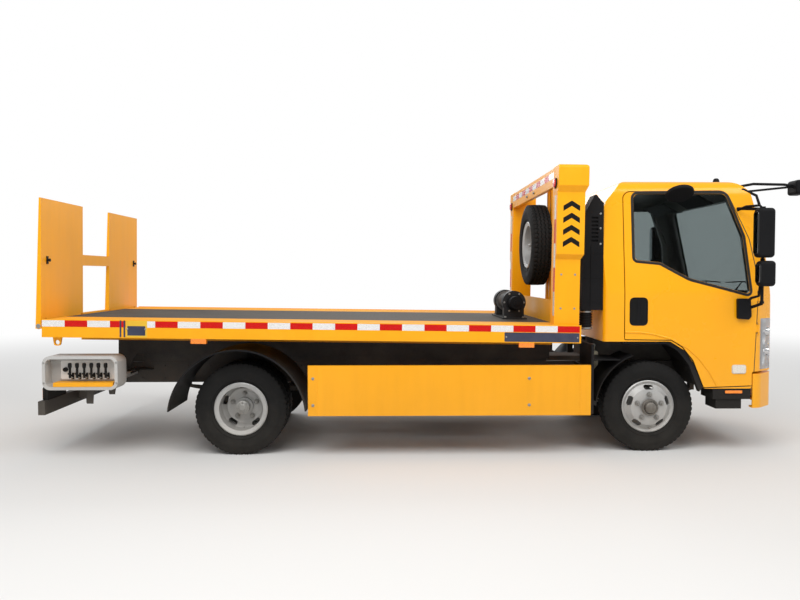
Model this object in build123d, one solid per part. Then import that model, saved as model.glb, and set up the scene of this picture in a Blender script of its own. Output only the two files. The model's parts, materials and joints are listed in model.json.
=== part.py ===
# Flatbed tow truck: light forward-control chassis, sliding bed, tail ramp and headboard.
# Millimetres. +X is forward, +Y is the truck's left, +Z is up.
# The origin is on the ground, under the middle of the whole truck.
from build123d import *
import os
from math import cos, radians, sin, tan

# Running gear
FRONT_AXLE_X = 1830
WHEELBASE = 3360
REAR_AXLE_X = FRONT_AXLE_X - WHEELBASE
TYRE_RADIUS = 375
TYRE_WIDTH = 185
FRONT_TRACK = 1504
REAR_TRACK = 1425
TWIN_SPACING = 215
RIM_FLANGE_RADIUS = 218
RIM_SEAT_RADIUS = 203
RIM_WIDTH = 150
RIM_WALL = 10
DISC_OFFSET = TWIN_SPACING / 2
STUD_CIRCLE_RADIUS = 104
STUD_COUNT = 5
SLOT_CIRCLE_RADIUS = 162
SLOT_SIZE = (80, 36)
DRUM_BRAKE_RADIUS = 148
DRUM_BRAKE_WALL = 12
HUB_RADIUS = 70
SPINDLE_RADIUS = 32
RUNNING_FIT = 0.05
PIN_CLEARANCE = 5
SEAT_GAP = 0.5
KINGPIN_Y = 600
KINGPIN_RADIUS = 18
STEERING_ARM = 180
TIE_ROD_Z = 300
TIE_ROD_RADIUS = 12

# Chassis frame
RAIL_OUTER_Y = 375
RAIL_FLANGE = 60
RAIL_HEIGHT = 180
RAIL_WALL = 7
RAIL_TOP_Z = 700
RAIL_REAR_X = -2950
RAIL_FRONT_X = 2780
SPRING_HALF_LENGTH = 560
SPRING_WIDTH = 60
SPRING_THICKNESS = 45
FRONT_SPRING_Y = 375
REAR_SPRING_Y = 430
FRONT_BEAM_Z = (270, 340)
KINGPIN_Z = (335, 415)

# Tilt pivot and rake of the bed: the nose sits lower than the tail
PIVOT_X = -2650
PIVOT_Z = 650
PIVOT_PIN_RADIUS = 25
RAKE = 0.75

# Tilt frame, in the bed's own level frame
TILT_BEAM_Y = (320, 400)
TILT_BEAM_Z = (775, 895)
TILT_REAR_X = -2700
TILT_FRONT_X = 1100
TILT_CROSS_X = -1750
EAR_THICKNESS = 18

# Tilt cylinders, between the frame rails
CYLINDER_Y = 200
CYLINDER_FOOT = (-1200, 600)
CYLINDER_EYE = (300, 815)
CYLINDER_RADIUS = 42
TILT_ROD_RADIUS = 22
CYLINDER_PIN_RADIUS = 14
EYE_RADIUS = 34

# Slide cylinder, along the middle of the tilt frame
SLIDE_BARREL_RADIUS = 45
SLIDE_ROD_RADIUS = 25
SLIDE_CYLINDER_Z = 955
SLIDE_BARREL_X = (-1380, 1020)

# Bed
BED_REAR_X = -3035
BED_FRONT_X = 1190
BED_HALF_WIDTH = 1100
BED_RAIL_Z = (978, 1120)
BED_RAIL_WIDTH = 60
BED_WALL = 6
DECK_TOP_Z = 1114
DECK_THICKNESS = 6
SIDE_STRIP_WIDTH = 420
BED_BEAM_Y = (325, 395)
CROSS_MEMBER_PITCH = 470
CROSS_MEMBER_WIDTH = 60
CROSS_MEMBER_HEIGHT = 86

# Headboard
PILLAR_X = (985, 1185)
PILLAR_HEAD_X = 1225
PILLAR_WIDTH = 130
PILLAR_OUTER_Y = BED_HALF_WIDTH - 55
PILLAR_FLARE = 32
PILLAR_TOP_Z = 2386
PILLAR_KINK_Z = (PILLAR_TOP_Z - 746, PILLAR_TOP_Z - 706)
PILLAR_HEAD_Z = (PILLAR_TOP_Z - 216, PILLAR_TOP_Z - 166)
SPARE_X = 1105
SPARE_Z = PILLAR_TOP_Z - 591

# Winch
WINCH_X = 800
WINCH_Z = DECK_TOP_Z + 150
WINCH_BED_HALF = 110
DRUM_RADIUS = 45
DRUM_HALF = 170

# Ramp
RAMP_HINGE_X = BED_REAR_X - 38
RAMP_HINGE_Z = 1062
RAMP_TOP_Z = 2066
RAMP_HALF_WIDTH = 1075
RAMP_GAP = 600
RAMP_BASE_THICKNESS = 44
RAMP_TIP_THICKNESS = 14
RAMP_PIN_RADIUS = 12
RAMP_LUG_WIDTH = 24

# Tie-down lugs under the bed's rails
TIE_LUG = (-2935, 935)
TIE_LUG_THICKNESS = 16
TIE_LUG_BORE = 18

# Cab
CAB_HALF_WIDTH = 930
CAB_REAR_X = FRONT_AXLE_X - 404
CAB_FRONT_X = FRONT_AXLE_X + 1050
CAB_FLOOR_Z = 925
CAB_ROOF_Z = 2245
CAB_WALL = 42
WAIST_Z = 1330
SIDE_LEAN = 95
CAB_HINGE_X = 2700
CAB_HINGE_Z = 640
CAB_PIN_RADIUS = 18
CAB_EAR_RADIUS = 36
NOSE_LOW_Z = 676
BUMPER_Z = (378, 657)
LAMP_Z = (690, 1110)
LAMP_INNER_Y = CAB_HALF_WIDTH - 320
SCREEN_HALF_WIDTH = (CAB_HALF_WIDTH - 170, CAB_HALF_WIDTH - 230)
REAR_WINDOW_HALF = 420
GLASS_GAP = 0.3
DOOR_GAP = 8
DOOR_HINGE_X = FRONT_AXLE_X + 872
DOOR_HINGE_Y = CAB_HALF_WIDTH - 15
DOOR_PIN_RADIUS = 5
KNUCKLE_RADIUS = 9
KNUCKLE_LUG = 14
KNUCKLES_Z = ((1000, 1060), (1255, 1315))
SNORKEL_DEPTH = 180
SNORKEL_Y = (-CAB_HALF_WIDTH + 30, -CAB_HALF_WIDTH + 170)
SNORKEL_TOP_Z = CAB_ROOF_Z - 113
LOUVRE_COUNT = 7
LOUVRE_PITCH = 31
BELLOWS_RADIUS = 54
BELLOWS_RIBS = 7
HANDLE_X = (FRONT_AXLE_X - 190, FRONT_AXLE_X - 50)
HANDLE_Z = (1060, 1280)
HANDLE_DEPTH = 24
HANDLE_CORNER = 40
GRILLE_Y = 520
GRILLE_Z = (800, 1060)
GRILLE_SLOTS = 6
GRILLE_DEPTH = 26

# Guards and boxes
MIRROR_REACH = 238
REAR_BAR_REACH = 83
MUDGUARD_Y = (-1060, -520)
FRONT_GUARD_RADIUS = 458
GUARD_X = (FRONT_AXLE_X - 2800, FRONT_AXLE_X - 534)
GUARD_Z = (342, 745)
GUARD_Y = 1030
GUARD_SHEET = 4
CONTROL_X = (FRONT_AXLE_X - 4869, FRONT_AXLE_X - 4281)
CONTROL_Z = (565, 832)
CONTROL_Y = (-1090, -900)
TUNNEL_HALF_WIDTH = 430
TUNNEL_TOP_Z = 905


def block(x, y, z):
    """A box given by its low and high limits on each axis."""
    limits = (x, y, z)
    middle = [(low + high) / 2 for low, high in limits]
    return Pos(*middle) * Box(*[high - low for low, high in limits])


def side_prism(points, y, radii=None):
    """A profile of (x, z) points, extruded from y[0] to y[1], with rounded corners where given."""
    plane = Plane((0, y[1], 0), x_dir=(1, 0, 0), z_dir=(0, -1, 0))
    line = FilletPolyline(*points, radius=radii, close=True) if radii else Polyline(*points, close=True)
    return extrude(plane * make_face(line), y[1] - y[0], dir=(0, -1, 0))


def front_prism(points, x, radii=None):
    """A profile of (y, z) points, extruded from x[0] to x[1]."""
    plane = Plane((x[0], 0, 0), x_dir=(0, 1, 0), z_dir=(1, 0, 0))
    line = FilletPolyline(*points, radius=radii, close=True) if radii else Polyline(*points, close=True)
    return extrude(plane * make_face(line), x[1] - x[0], dir=(1, 0, 0))


def plan_prism(points, z, radii=None):
    """A profile of (x, y) points, extruded from z[0] to z[1]."""
    line = FilletPolyline(*points, radius=radii, close=True) if radii else Polyline(*points, close=True)
    return extrude(Pos(0, 0, z[0]) * make_face(line), z[1] - z[0], dir=(0, 0, 1))


def rounded_block(x, y, z, radius):
    """A box with all its edges rounded."""
    return fillet(block(x, y, z).edges(), radius)


def rod_x(radius, x, y, z):
    """A round bar along X."""
    return Pos((x[0] + x[1]) / 2, y, z) * Rot(0, 90, 0) * Cylinder(radius, x[1] - x[0])


def rod_y(radius, y, x, z):
    """A round bar along Y."""
    return Pos(x, (y[0] + y[1]) / 2, z) * Rot(90, 0, 0) * Cylinder(radius, y[1] - y[0])


def rod_z(radius, z, x, y):
    """A round bar along Z."""
    return Pos(x, y, (z[0] + z[1]) / 2) * Cylinder(radius, z[1] - z[0])


def bar(radius, start, end):
    """A round bar between two points."""
    run = Vector(*end) - Vector(*start)
    return extrude(Plane(start, z_dir=run) * Circle(radius), run.length)


def turned(points, radii=None):
    """A ring or disc turned about the Y axis from (radius, y) points."""
    line = FilletPolyline(*points, radius=radii, close=True) if radii else Polyline(*points, close=True)
    return revolve(make_face(line), Axis.Y)


def mirrored(shape):
    """The same piece on the truck's other side."""
    return mirror(shape, about=Plane.XZ)


def both(shape):
    """A piece and its twin on the other side, as two solids."""
    return Compound([*shape.solids(), *mirrored(shape).solids()])


def raked(shape):
    """Lean a piece of the bed nose down about the tilt pivot."""
    lean = Pos(PIVOT_X, 0, PIVOT_Z) * Rot(0, RAKE, 0) * Pos(-PIVOT_X, 0, -PIVOT_Z)
    return lean * shape


def raked_point(x, z):
    """Where a point of the level bed lies once the bed is raked."""
    dx = x - PIVOT_X
    dz = z - PIVOT_Z
    lean = radians(RAKE)
    return (PIVOT_X + dx * cos(lean) + dz * sin(lean), PIVOT_Z - dx * sin(lean) + dz * cos(lean))


# Chassis

def frame_rails():
    """Two channel rails, their crossmembers, spring hangers and the bed's pivot pins."""
    low = RAIL_TOP_Z - RAIL_HEIGHT
    inner = RAIL_OUTER_Y - RAIL_FLANGE
    rail = block((RAIL_REAR_X, RAIL_FRONT_X), (inner, RAIL_OUTER_Y), (low, RAIL_TOP_Z))
    rail -= block((RAIL_REAR_X - 1, RAIL_FRONT_X + 1), (inner - 1, RAIL_OUTER_Y - RAIL_WALL),
                  (low + RAIL_WALL, RAIL_TOP_Z - RAIL_WALL))
    frame = rail + mirrored(rail)
    web = RAIL_OUTER_Y - RAIL_WALL
    cross_x = (RAIL_REAR_X + 30, -2100, -1450, -200, 640, 2400, RAIL_FRONT_X - 30)
    for x in cross_x:
        frame += block((x - 30, x + 30), (-web, web), (low + 20, RAIL_TOP_Z - 20)) \
            - block((x - 22, x + 31), (-web - 1, web + 1), (low + 28, RAIL_TOP_Z - 28))
    pin = rod_y(PIVOT_PIN_RADIUS, (web, RAIL_OUTER_Y + 40), PIVOT_X, PIVOT_Z)
    collar = rod_y(PIVOT_PIN_RADIUS + 14, (RAIL_OUTER_Y + 30, RAIL_OUTER_Y + 40), PIVOT_X, PIVOT_Z)
    cab_pin = rod_y(CAB_PIN_RADIUS, (web, TUNNEL_HALF_WIDTH - 2), CAB_HINGE_X, CAB_HINGE_Z)
    cab_rest = block((CAB_REAR_X + 20, CAB_REAR_X + 70), (inner, RAIL_OUTER_Y),
                     (RAIL_TOP_Z - 1, CAB_FLOOR_Z - SEAT_GAP))
    one_side = pin + collar + cab_pin + cab_rest
    frame += one_side + mirrored(one_side)
    return frame


def leaf_spring(axle_x, y, low_z, rise):
    """A pack of leaves as one curved bar, lowest at the axle."""
    ends = low_z + rise
    lower = ThreePointArc((axle_x - SPRING_HALF_LENGTH, ends), (axle_x, low_z),
                          (axle_x + SPRING_HALF_LENGTH, ends))
    upper = ThreePointArc((axle_x + SPRING_HALF_LENGTH, ends + SPRING_THICKNESS / 3),
                          (axle_x, low_z + SPRING_THICKNESS),
                          (axle_x - SPRING_HALF_LENGTH, ends + SPRING_THICKNESS / 3))
    face = make_face([lower, Line(lower @ 1, upper @ 0), upper, Line(upper @ 1, lower @ 0)])
    plane = Plane((0, y + SPRING_WIDTH / 2, 0), x_dir=(1, 0, 0), z_dir=(0, -1, 0))
    return extrude(plane * face, SPRING_WIDTH, dir=(0, -1, 0))


def front_axle():
    """A dropped beam with kingpin eyes, carried by two leaf springs and their hangers."""
    z0, z1 = FRONT_BEAM_Z
    outline = [(-KINGPIN_Y, KINGPIN_Z[0] + 8), (-548, KINGPIN_Z[0] + 8), (-490, z0 + 6), (-430, z0),
               (430, z0), (490, z0 + 6), (548, KINGPIN_Z[0] + 8), (KINGPIN_Y, KINGPIN_Z[0] + 8),
               (KINGPIN_Y, KINGPIN_Z[1] - 8), (480, z1 + 4), (430, z1),
               (-430, z1), (-480, z1 + 4), (-KINGPIN_Y, KINGPIN_Z[1] - 8)]
    axle = front_prism(outline, (FRONT_AXLE_X - 35, FRONT_AXLE_X + 35))
    pieces = []
    for side in (-1, 1):
        y = side * KINGPIN_Y
        axle += rod_z(KINGPIN_RADIUS + 20, KINGPIN_Z, FRONT_AXLE_X, y)
        axle -= rod_z(KINGPIN_RADIUS + RUNNING_FIT, (KINGPIN_Z[0] - 1, KINGPIN_Z[1] + 1), FRONT_AXLE_X, y)
        spring_y = side * FRONT_SPRING_Y
        axle += leaf_spring(FRONT_AXLE_X, spring_y, z1, 110)
        pad_x = (FRONT_AXLE_X - 60, FRONT_AXLE_X + 60)
        pad_y = (spring_y - 36, spring_y + 36)
        axle += block(pad_x, pad_y, (z1 - 4, z1 + 12))
        axle += block(pad_x, pad_y, (z1 + SPRING_THICKNESS - 8, z1 + SPRING_THICKNESS + 10))
        for end in (-1, 1):
            x = FRONT_AXLE_X + end * (SPRING_HALF_LENGTH - 12)
            y0 = spring_y - SPRING_WIDTH / 2
            axle += block((x - 20, x + 20), (y0, y0 + SPRING_WIDTH), (z1 + 105, RAIL_TOP_Z - RAIL_HEIGHT))
    return axle


def rear_axle():
    """Drive axle with differential, springs and the shaft from the gearbox."""
    z = TYRE_RADIUS
    x = REAR_AXLE_X
    tube = rod_y(55, (-470, 470), x, z)
    differential = Pos(x, 0, z) * Sphere(150)
    axle = tube + differential
    hub_face = REAR_TRACK / 2 - 20
    axle += rod_y(SPINDLE_RADIUS, (-hub_face, hub_face), x, z)
    plate_y = REAR_TRACK / 2 - 226
    plate = rod_y(DRUM_BRAKE_RADIUS - 4, (plate_y, plate_y + 8), x, z)
    axle += plate + mirrored(plate)
    for side in (-1, 1):
        y = side * REAR_SPRING_Y
        axle += leaf_spring(x, y, z + 60, 60)
        axle += block((x - 60, x + 60), (y - 30, y + 30), (z, z + 70))
        for end in (-1, 1):
            hanger_x = x + end * (SPRING_HALF_LENGTH - 12)
            axle += block((hanger_x - 20, hanger_x + 20), (y - 30, y + 30), (z + 118, z + 230))
            inner = (RAIL_OUTER_Y, y) if side > 0 else (y, -RAIL_OUTER_Y)
            axle += block((hanger_x - 20, hanger_x + 20), inner, (z + 150, z + 230))
    axle += bar(38, (x + 100, 0, z + 40), (1098.5, 0, 490))
    return axle


def engine_block():
    """Engine and gearbox as one plain block on two mounts."""
    engine = block((1480, 2260), (-220, 220), (440, 870))
    gearbox = block((1100, 1480), (-130, 130), (440, 720))
    mounts = block((1850, 1930), (-(RAIL_OUTER_Y - RAIL_WALL), RAIL_OUTER_Y - RAIL_WALL), (560, 600))
    return engine + gearbox + mounts


def exhaust():
    """Pipe from the engine, silencer on two hangers from the right rail, and a tail pipe."""
    radius = 28
    route = [(1560, -220.5, 480), (1560, -300, 480), (520, -300, 480), (450, -520, 430), (-800, -520, 410),
             (-860, -880, 380)]
    pipe = bar(radius, route[0], route[1])
    for start, end in zip(route[1:], route[2:]):
        pipe += Pos(*start) * Sphere(radius)
        pipe += bar(radius, start, end)
    silencer = rod_x(95, (-180, 420), -520, 428)
    pipe += fillet(silencer.edges(), 20)
    for x in (-100, 320):
        pipe += block((x - 15, x + 15), (-540, -RAIL_OUTER_Y), (515, 550))
    return pipe


def fuel_tank():
    """Ribless steel tank hung outside the left rail."""
    low = RAIL_TOP_Z - RAIL_HEIGHT
    tank = side_prism([(-100, 380), (560, 380), (560, 720), (-100, 720)],
                      (RAIL_OUTER_Y + 40, RAIL_OUTER_Y + 440), [50] * 4)
    straps = block((30, 80), (RAIL_OUTER_Y, RAIL_OUTER_Y + 40), (low, RAIL_TOP_Z)) \
        + block((380, 430), (RAIL_OUTER_Y, RAIL_OUTER_Y + 40), (low, RAIL_TOP_Z))
    return tank + straps


def side_guards():
    """Long sheet guards between the axles, each on two arms from the rail."""
    x0, x1 = GUARD_X
    z0, z1 = GUARD_Z
    outer = -GUARD_Y
    sheet = block((x0, x1), (outer, outer + GUARD_SHEET), (z0, z1))
    sheet += block((x0, x1), (outer, outer + 30), (z1 - GUARD_SHEET, z1))
    sheet += block((x0, x1), (outer, outer + 30), (z0, z0 + GUARD_SHEET))
    sheet += block((x0, x0 + GUARD_SHEET), (outer, outer + 30), (z0, z1))
    sheet += block((x1 - GUARD_SHEET, x1), (outer, outer + 30), (z0, z1))
    for x in (-700, 1000):
        sheet += block((x - 25, x + 25), (outer, -RAIL_OUTER_Y), (560, 600))
    return both(sheet)


def front_bumper():
    """Bumper shell wrapped round the cab's corners, hung from the cab's lower edge."""
    front = CAB_FRONT_X + 20
    side = FRONT_AXLE_X + 826
    half = CAB_HALF_WIDTH
    wall = 14
    z0, z1 = BUMPER_Z

    def plan(inset):
        rear = side - (1 if inset else 0)
        return [(rear, -half + inset), (front - 190, -half + inset), (front - inset, -half + 170),
                (front - inset, half - 170), (front - 190, half - inset), (rear, half - inset)]

    radii = [0, 100, 180, 180, 100, 0]
    bumper = plan_prism(plan(0), BUMPER_Z, radii)
    bumper -= plan_prism(plan(wall), (z0 + wall, z1 - wall), radii)
    bumper -= plan_prism(plan(60), (z0 - 1, z1 + 1), radii)
    for y in (-600, 600):
        bumper += block((front - 66, front - 30), (y - 30, y + 30), (z1 - wall, NOSE_LOW_Z - SEAT_GAP))
    return bumper


def rear_bar():
    """Square underrun bar across the tail on two drop arms."""
    bar_x = (BED_REAR_X - REAR_BAR_REACH, BED_REAR_X - REAR_BAR_REACH + 55)
    beam = block(bar_x, (-1000, 1000), (351, 460))
    for side in (-1, 1):
        y = side * (RAIL_OUTER_Y - 30)
        outline = [(bar_x[1], 380), (bar_x[1] + 40, 380), (-2760, RAIL_TOP_Z - RAIL_HEIGHT),
                   (-2900, RAIL_TOP_Z - RAIL_HEIGHT), (bar_x[1], 440)]
        beam += side_prism(outline, (y - 25, y + 25))
    return beam


def tail_lamps():
    """Rear lamp clusters on the underrun bar."""
    rear = BED_REAR_X - REAR_BAR_REACH
    lamp = block((rear, rear + 48), (-930, -600), (460.5, 560))
    return both(lamp)


def mudguards():
    """Arched guards over the twin wheels and flat ones behind the front wheels."""
    outer = 553
    centre_z = 325
    y0, y1 = MUDGUARD_Y
    arch = rod_y(outer, MUDGUARD_Y, REAR_AXLE_X, centre_z) \
        - rod_y(outer - 12, (y0 - 10, y1 + 20), REAR_AXLE_X, centre_z)
    arch -= block((REAR_AXLE_X - 700, REAR_AXLE_X + 700), (y0 - 40, y1 + 120),
                  (centre_z - 700, centre_z + 60))
    stay_x = (REAR_AXLE_X - 30, REAR_AXLE_X + 30)
    arch += block(stay_x, (-560, -450), (850, 867)) \
        + block(stay_x, (-470, -450), (560, 867)) \
        + block(stay_x, (-470, -RAIL_OUTER_Y), (560, 600))
    clear = FRONT_GUARD_RADIUS
    guard_y = (-920, -560)
    guard = rod_y(clear + 6, guard_y, FRONT_AXLE_X, TYRE_RADIUS) \
        - rod_y(clear, (guard_y[0] - 1, guard_y[1] + 1), FRONT_AXLE_X, TYRE_RADIUS)
    guard &= block((FRONT_AXLE_X - clear - 10, FRONT_AXLE_X - 160), guard_y, (TYRE_RADIUS + 20, 900))
    flap = block((1330, 1350), guard_y, (330, 900)) \
        + block((1340, FRONT_AXLE_X - clear - 1), guard_y, (TYRE_RADIUS + 30, TYRE_RADIUS + 60)) \
        + block((1340, 1560), guard_y, (770, 778)) \
        + block((1330, 1350), (-560, -RAIL_OUTER_Y), (560, 700)) + guard
    return both(Compound([*arch.solids(), *flap.solids()]))


def control_boxes():
    """Shallow open boxes with the bed's hand levers, one each side."""
    x0, x1 = CONTROL_X
    z0, z1 = CONTROL_Z
    housing = side_prism([(x0, z0), (x1, z0), (x1, z1), (x0, z1)], CONTROL_Y, [60] * 4)
    rim = 24
    housing -= side_prism([(x0 + rim, z0 + rim), (x1 - rim, z0 + rim), (x1 - rim, z1 - rim),
                           (x0 + rim, z1 - rim)], (CONTROL_Y[0] - 1, CONTROL_Y[0] + 110), [40] * 4)
    for index in range(6):
        x = x0 + 200 + index * 56
        housing += rod_z(8, (650, 740), x, CONTROL_Y[0] + 40) \
            + rod_y(6, (CONTROL_Y[0] + 40, CONTROL_Y[0] + 115), x, 652)
    for x in (x0 + 300, x0 + 480):
        housing += block((x - 20, x + 20), (CONTROL_Y[1] - 5, -RAIL_OUTER_Y), (600, 640))
    return both(housing)


def coolant_bottle():
    """Moulded bottle behind the cab on the right rail."""
    bottle = side_prism([(1370, 640), (1490, 640), (1490, 810), (1370, 810)], (-560, -450), [20] * 4)
    neck = rod_z(25, (809, 850), 1450, -505)
    stay = block((1400, 1440), (-455, -RAIL_OUTER_Y), (650, 680))
    return bottle + neck + stay


def tilt_base():
    """Wedge packers on the rails that carry the raked tilt frame, and the cylinder feet."""
    lean = tan(radians(RAKE))
    inner = RAIL_OUTER_Y - RAIL_FLANGE + 8
    y = (inner, RAIL_OUTER_Y - 3)
    top = TILT_BEAM_Z[0] - SEAT_GAP

    def top_at(x):
        return top - (x - PIVOT_X) * lean

    start = PIVOT_X + 160
    end = TILT_FRONT_X - 20
    wedge = side_prism([(start, RAIL_TOP_Z), (end, RAIL_TOP_Z), (end, top_at(end)),
                        (start, top_at(start))], y)
    base = wedge + mirrored(wedge)
    foot_x, foot_z = CYLINDER_FOOT
    web = RAIL_OUTER_Y - RAIL_WALL
    base_cross = rod_y(30, (-web, web), foot_x - 90, foot_z)
    lugs = base_cross
    for side in (-1, 1):
        for offset in (-1, 1):
            y_mid = side * CYLINDER_Y + offset * 35
            outline = [(foot_x - 90, foot_z - 30), (foot_x, foot_z - 28), (foot_x + 28, foot_z),
                       (foot_x, foot_z + 28), (foot_x - 90, foot_z + 30)]
            lugs += side_prism(outline, (y_mid - 7, y_mid + 7))
        lugs += rod_y(CYLINDER_PIN_RADIUS, (side * CYLINDER_Y - 36, side * CYLINDER_Y + 36), foot_x, foot_z)
    return Compound([*base.solids(), *lugs.solids()])


# Wheels and steering

def wheel_section(outward, middle):
    """The rim and disc in (radius, y) for a wheel whose disc lies on the outward side (+1 or -1)."""
    half = RIM_WIDTH / 2
    disc = middle + outward * DISC_OFFSET
    near = middle + outward * (half - 22)
    s = outward * RIM_WALL
    return [(RIM_FLANGE_RADIUS, middle - outward * half), (RIM_SEAT_RADIUS, middle - outward * (half - 8)),
            (RIM_SEAT_RADIUS - 14, middle), (RIM_SEAT_RADIUS, middle + outward * (half - 8)),
            (RIM_FLANGE_RADIUS, middle + outward * half),
            (RIM_FLANGE_RADIUS - 8, middle + outward * (half + 6)),
            (RIM_SEAT_RADIUS - 14, near + outward * 12), (150, disc - s * 0.5), (120, disc),
            (HUB_RADIUS, disc), (HUB_RADIUS, disc - s), (118, disc - s), (146, disc - s * 1.6),
            (RIM_SEAT_RADIUS - 24, near), (RIM_SEAT_RADIUS - 24, middle - outward * (half - 6)),
            (RIM_FLANGE_RADIUS - 8, middle - outward * (half + 6))]


def tyre(middle):
    """One tyre with rounded shoulders, centred at y = middle."""
    half = TYRE_WIDTH / 2
    bead = RIM_WIDTH / 2 - 8
    points = [(RIM_FLANGE_RADIUS + 1, middle - bead), (290, middle - half),
              (TYRE_RADIUS - 6, middle - half + 16), (TYRE_RADIUS, middle),
              (TYRE_RADIUS - 6, middle + half - 16), (290, middle + half),
              (RIM_FLANGE_RADIUS + 1, middle + bead), (RIM_SEAT_RADIUS + 0.5, middle + bead),
              (RIM_SEAT_RADIUS + 0.5, middle - bead)]
    return turned(points, [10, 40, 18, 0, 18, 40, 10, 0, 0])


def rim(outward, middle):
    """One pressed wheel with slots and stud holes, disc on the outward side."""
    wheel = turned(wheel_section(outward, middle))
    disc = middle + outward * DISC_OFFSET
    for index in range(STUD_COUNT):
        turn = Rot(0, index * 360 / STUD_COUNT, 0)
        slot = Pos(0, disc - outward * 15, SLOT_CIRCLE_RADIUS) * Rot(90, 0, 0) \
            * extrude(SlotOverall(*SLOT_SIZE), 60, both=True)
        wheel -= turn * slot
    return wheel


def hub(inner, outer, bore_end, cap):
    """A hub barrel from y = inner to outer with a blind bore for its spindle."""
    body = rod_y(HUB_RADIUS, (inner, outer), 0, 0) + rod_y(52, (outer, cap), 0, 0)
    return body - rod_y(SPINDLE_RADIUS + RUNNING_FIT, (inner - 1, bore_end), 0, 0)


def brake_drum(open_y, web_y):
    """A drum round the brake, open toward the truck's middle and closed on the hub."""
    r = DRUM_BRAKE_RADIUS
    w = DRUM_BRAKE_WALL
    return turned([(HUB_RADIUS - 2, web_y - w), (r - w, web_y - w), (r - w, open_y), (r, open_y), (r, web_y),
                   (HUB_RADIUS - 2, web_y)])


def front_wheel():
    """Left front tyre and rim at the axle."""
    middle = FRONT_TRACK / 2
    wheel = rim(1, middle) + hub(middle - 80, middle + DISC_OFFSET, middle + 60, middle + DISC_OFFSET + 20)
    wheel += brake_drum(KINGPIN_Y + 70, KINGPIN_Y + 140)
    place = Pos(FRONT_AXLE_X, 0, TYRE_RADIUS)
    return place * tyre(middle), place * wheel


def rear_wheel():
    """Left rear twin tyres and rims."""
    middle = REAR_TRACK / 2
    inner = middle - TWIN_SPACING / 2
    outer = middle + TWIN_SPACING / 2
    rims = rim(1, inner) + rim(-1, outer)
    rims += hub(middle - 120, middle + 40, middle - 10, middle + 105)
    rims += brake_drum(middle - 212, middle - 74)
    place = Pos(REAR_AXLE_X, 0, TYRE_RADIUS)
    tyres = Compound([*tyre(inner).solids(), *tyre(outer).solids()])
    return place * tyres, place * rims


def knuckle():
    """Left steering knuckle: fork, kingpin, spindle and rearward arm."""
    x = FRONT_AXLE_X
    y = KINGPIN_Y
    low, high = KINGPIN_Z
    middle = FRONT_TRACK / 2
    piece = rod_z(KINGPIN_RADIUS, (low - 22, high + 22), x, y)
    for z in ((low - 25, low - 3), (high + 3, high + 25)):
        piece += rod_z(KINGPIN_RADIUS + 20, z, x, y)
        piece += block((x - 30, x + 30), (y, y + 62), z)
    piece += block((x - 40, x + 40), (y + 46, y + 62), (low - 25, high + 25))
    piece += rod_y(SPINDLE_RADIUS, (y + 60, middle + 55), x, TYRE_RADIUS)
    piece += rod_y(DRUM_BRAKE_RADIUS - 4, (y + 56, y + 64), x, TYRE_RADIUS)
    arm_z = (TIE_ROD_Z, TIE_ROD_Z + 22)
    piece += block((x - 30, x + 30), (y - 20, y + 62), (arm_z[0], low - 20))
    piece += block((x - STEERING_ARM, x), (y - 20, y + 20), arm_z)
    piece += rod_z(20, arm_z, x - STEERING_ARM, y)
    piece += rod_z(9, (TIE_ROD_Z - 34, TIE_ROD_Z + 1), x - STEERING_ARM, y)
    return piece


def tie_rod():
    """Rod that joins the two steering arms, with an eye at each end."""
    x = FRONT_AXLE_X - STEERING_ARM
    z = TIE_ROD_Z - 18
    rod = rod_y(TIE_ROD_RADIUS, (-KINGPIN_Y + 15, KINGPIN_Y - 15), x, z)
    for side, bore in ((1, 9 + RUNNING_FIT), (-1, 12)):
        rod += rod_z(24, (z - 15, z + 15), x, side * KINGPIN_Y)
        rod -= rod_z(bore, (z - 20, z + 20), x, side * KINGPIN_Y)
    return rod


# Bed

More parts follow.
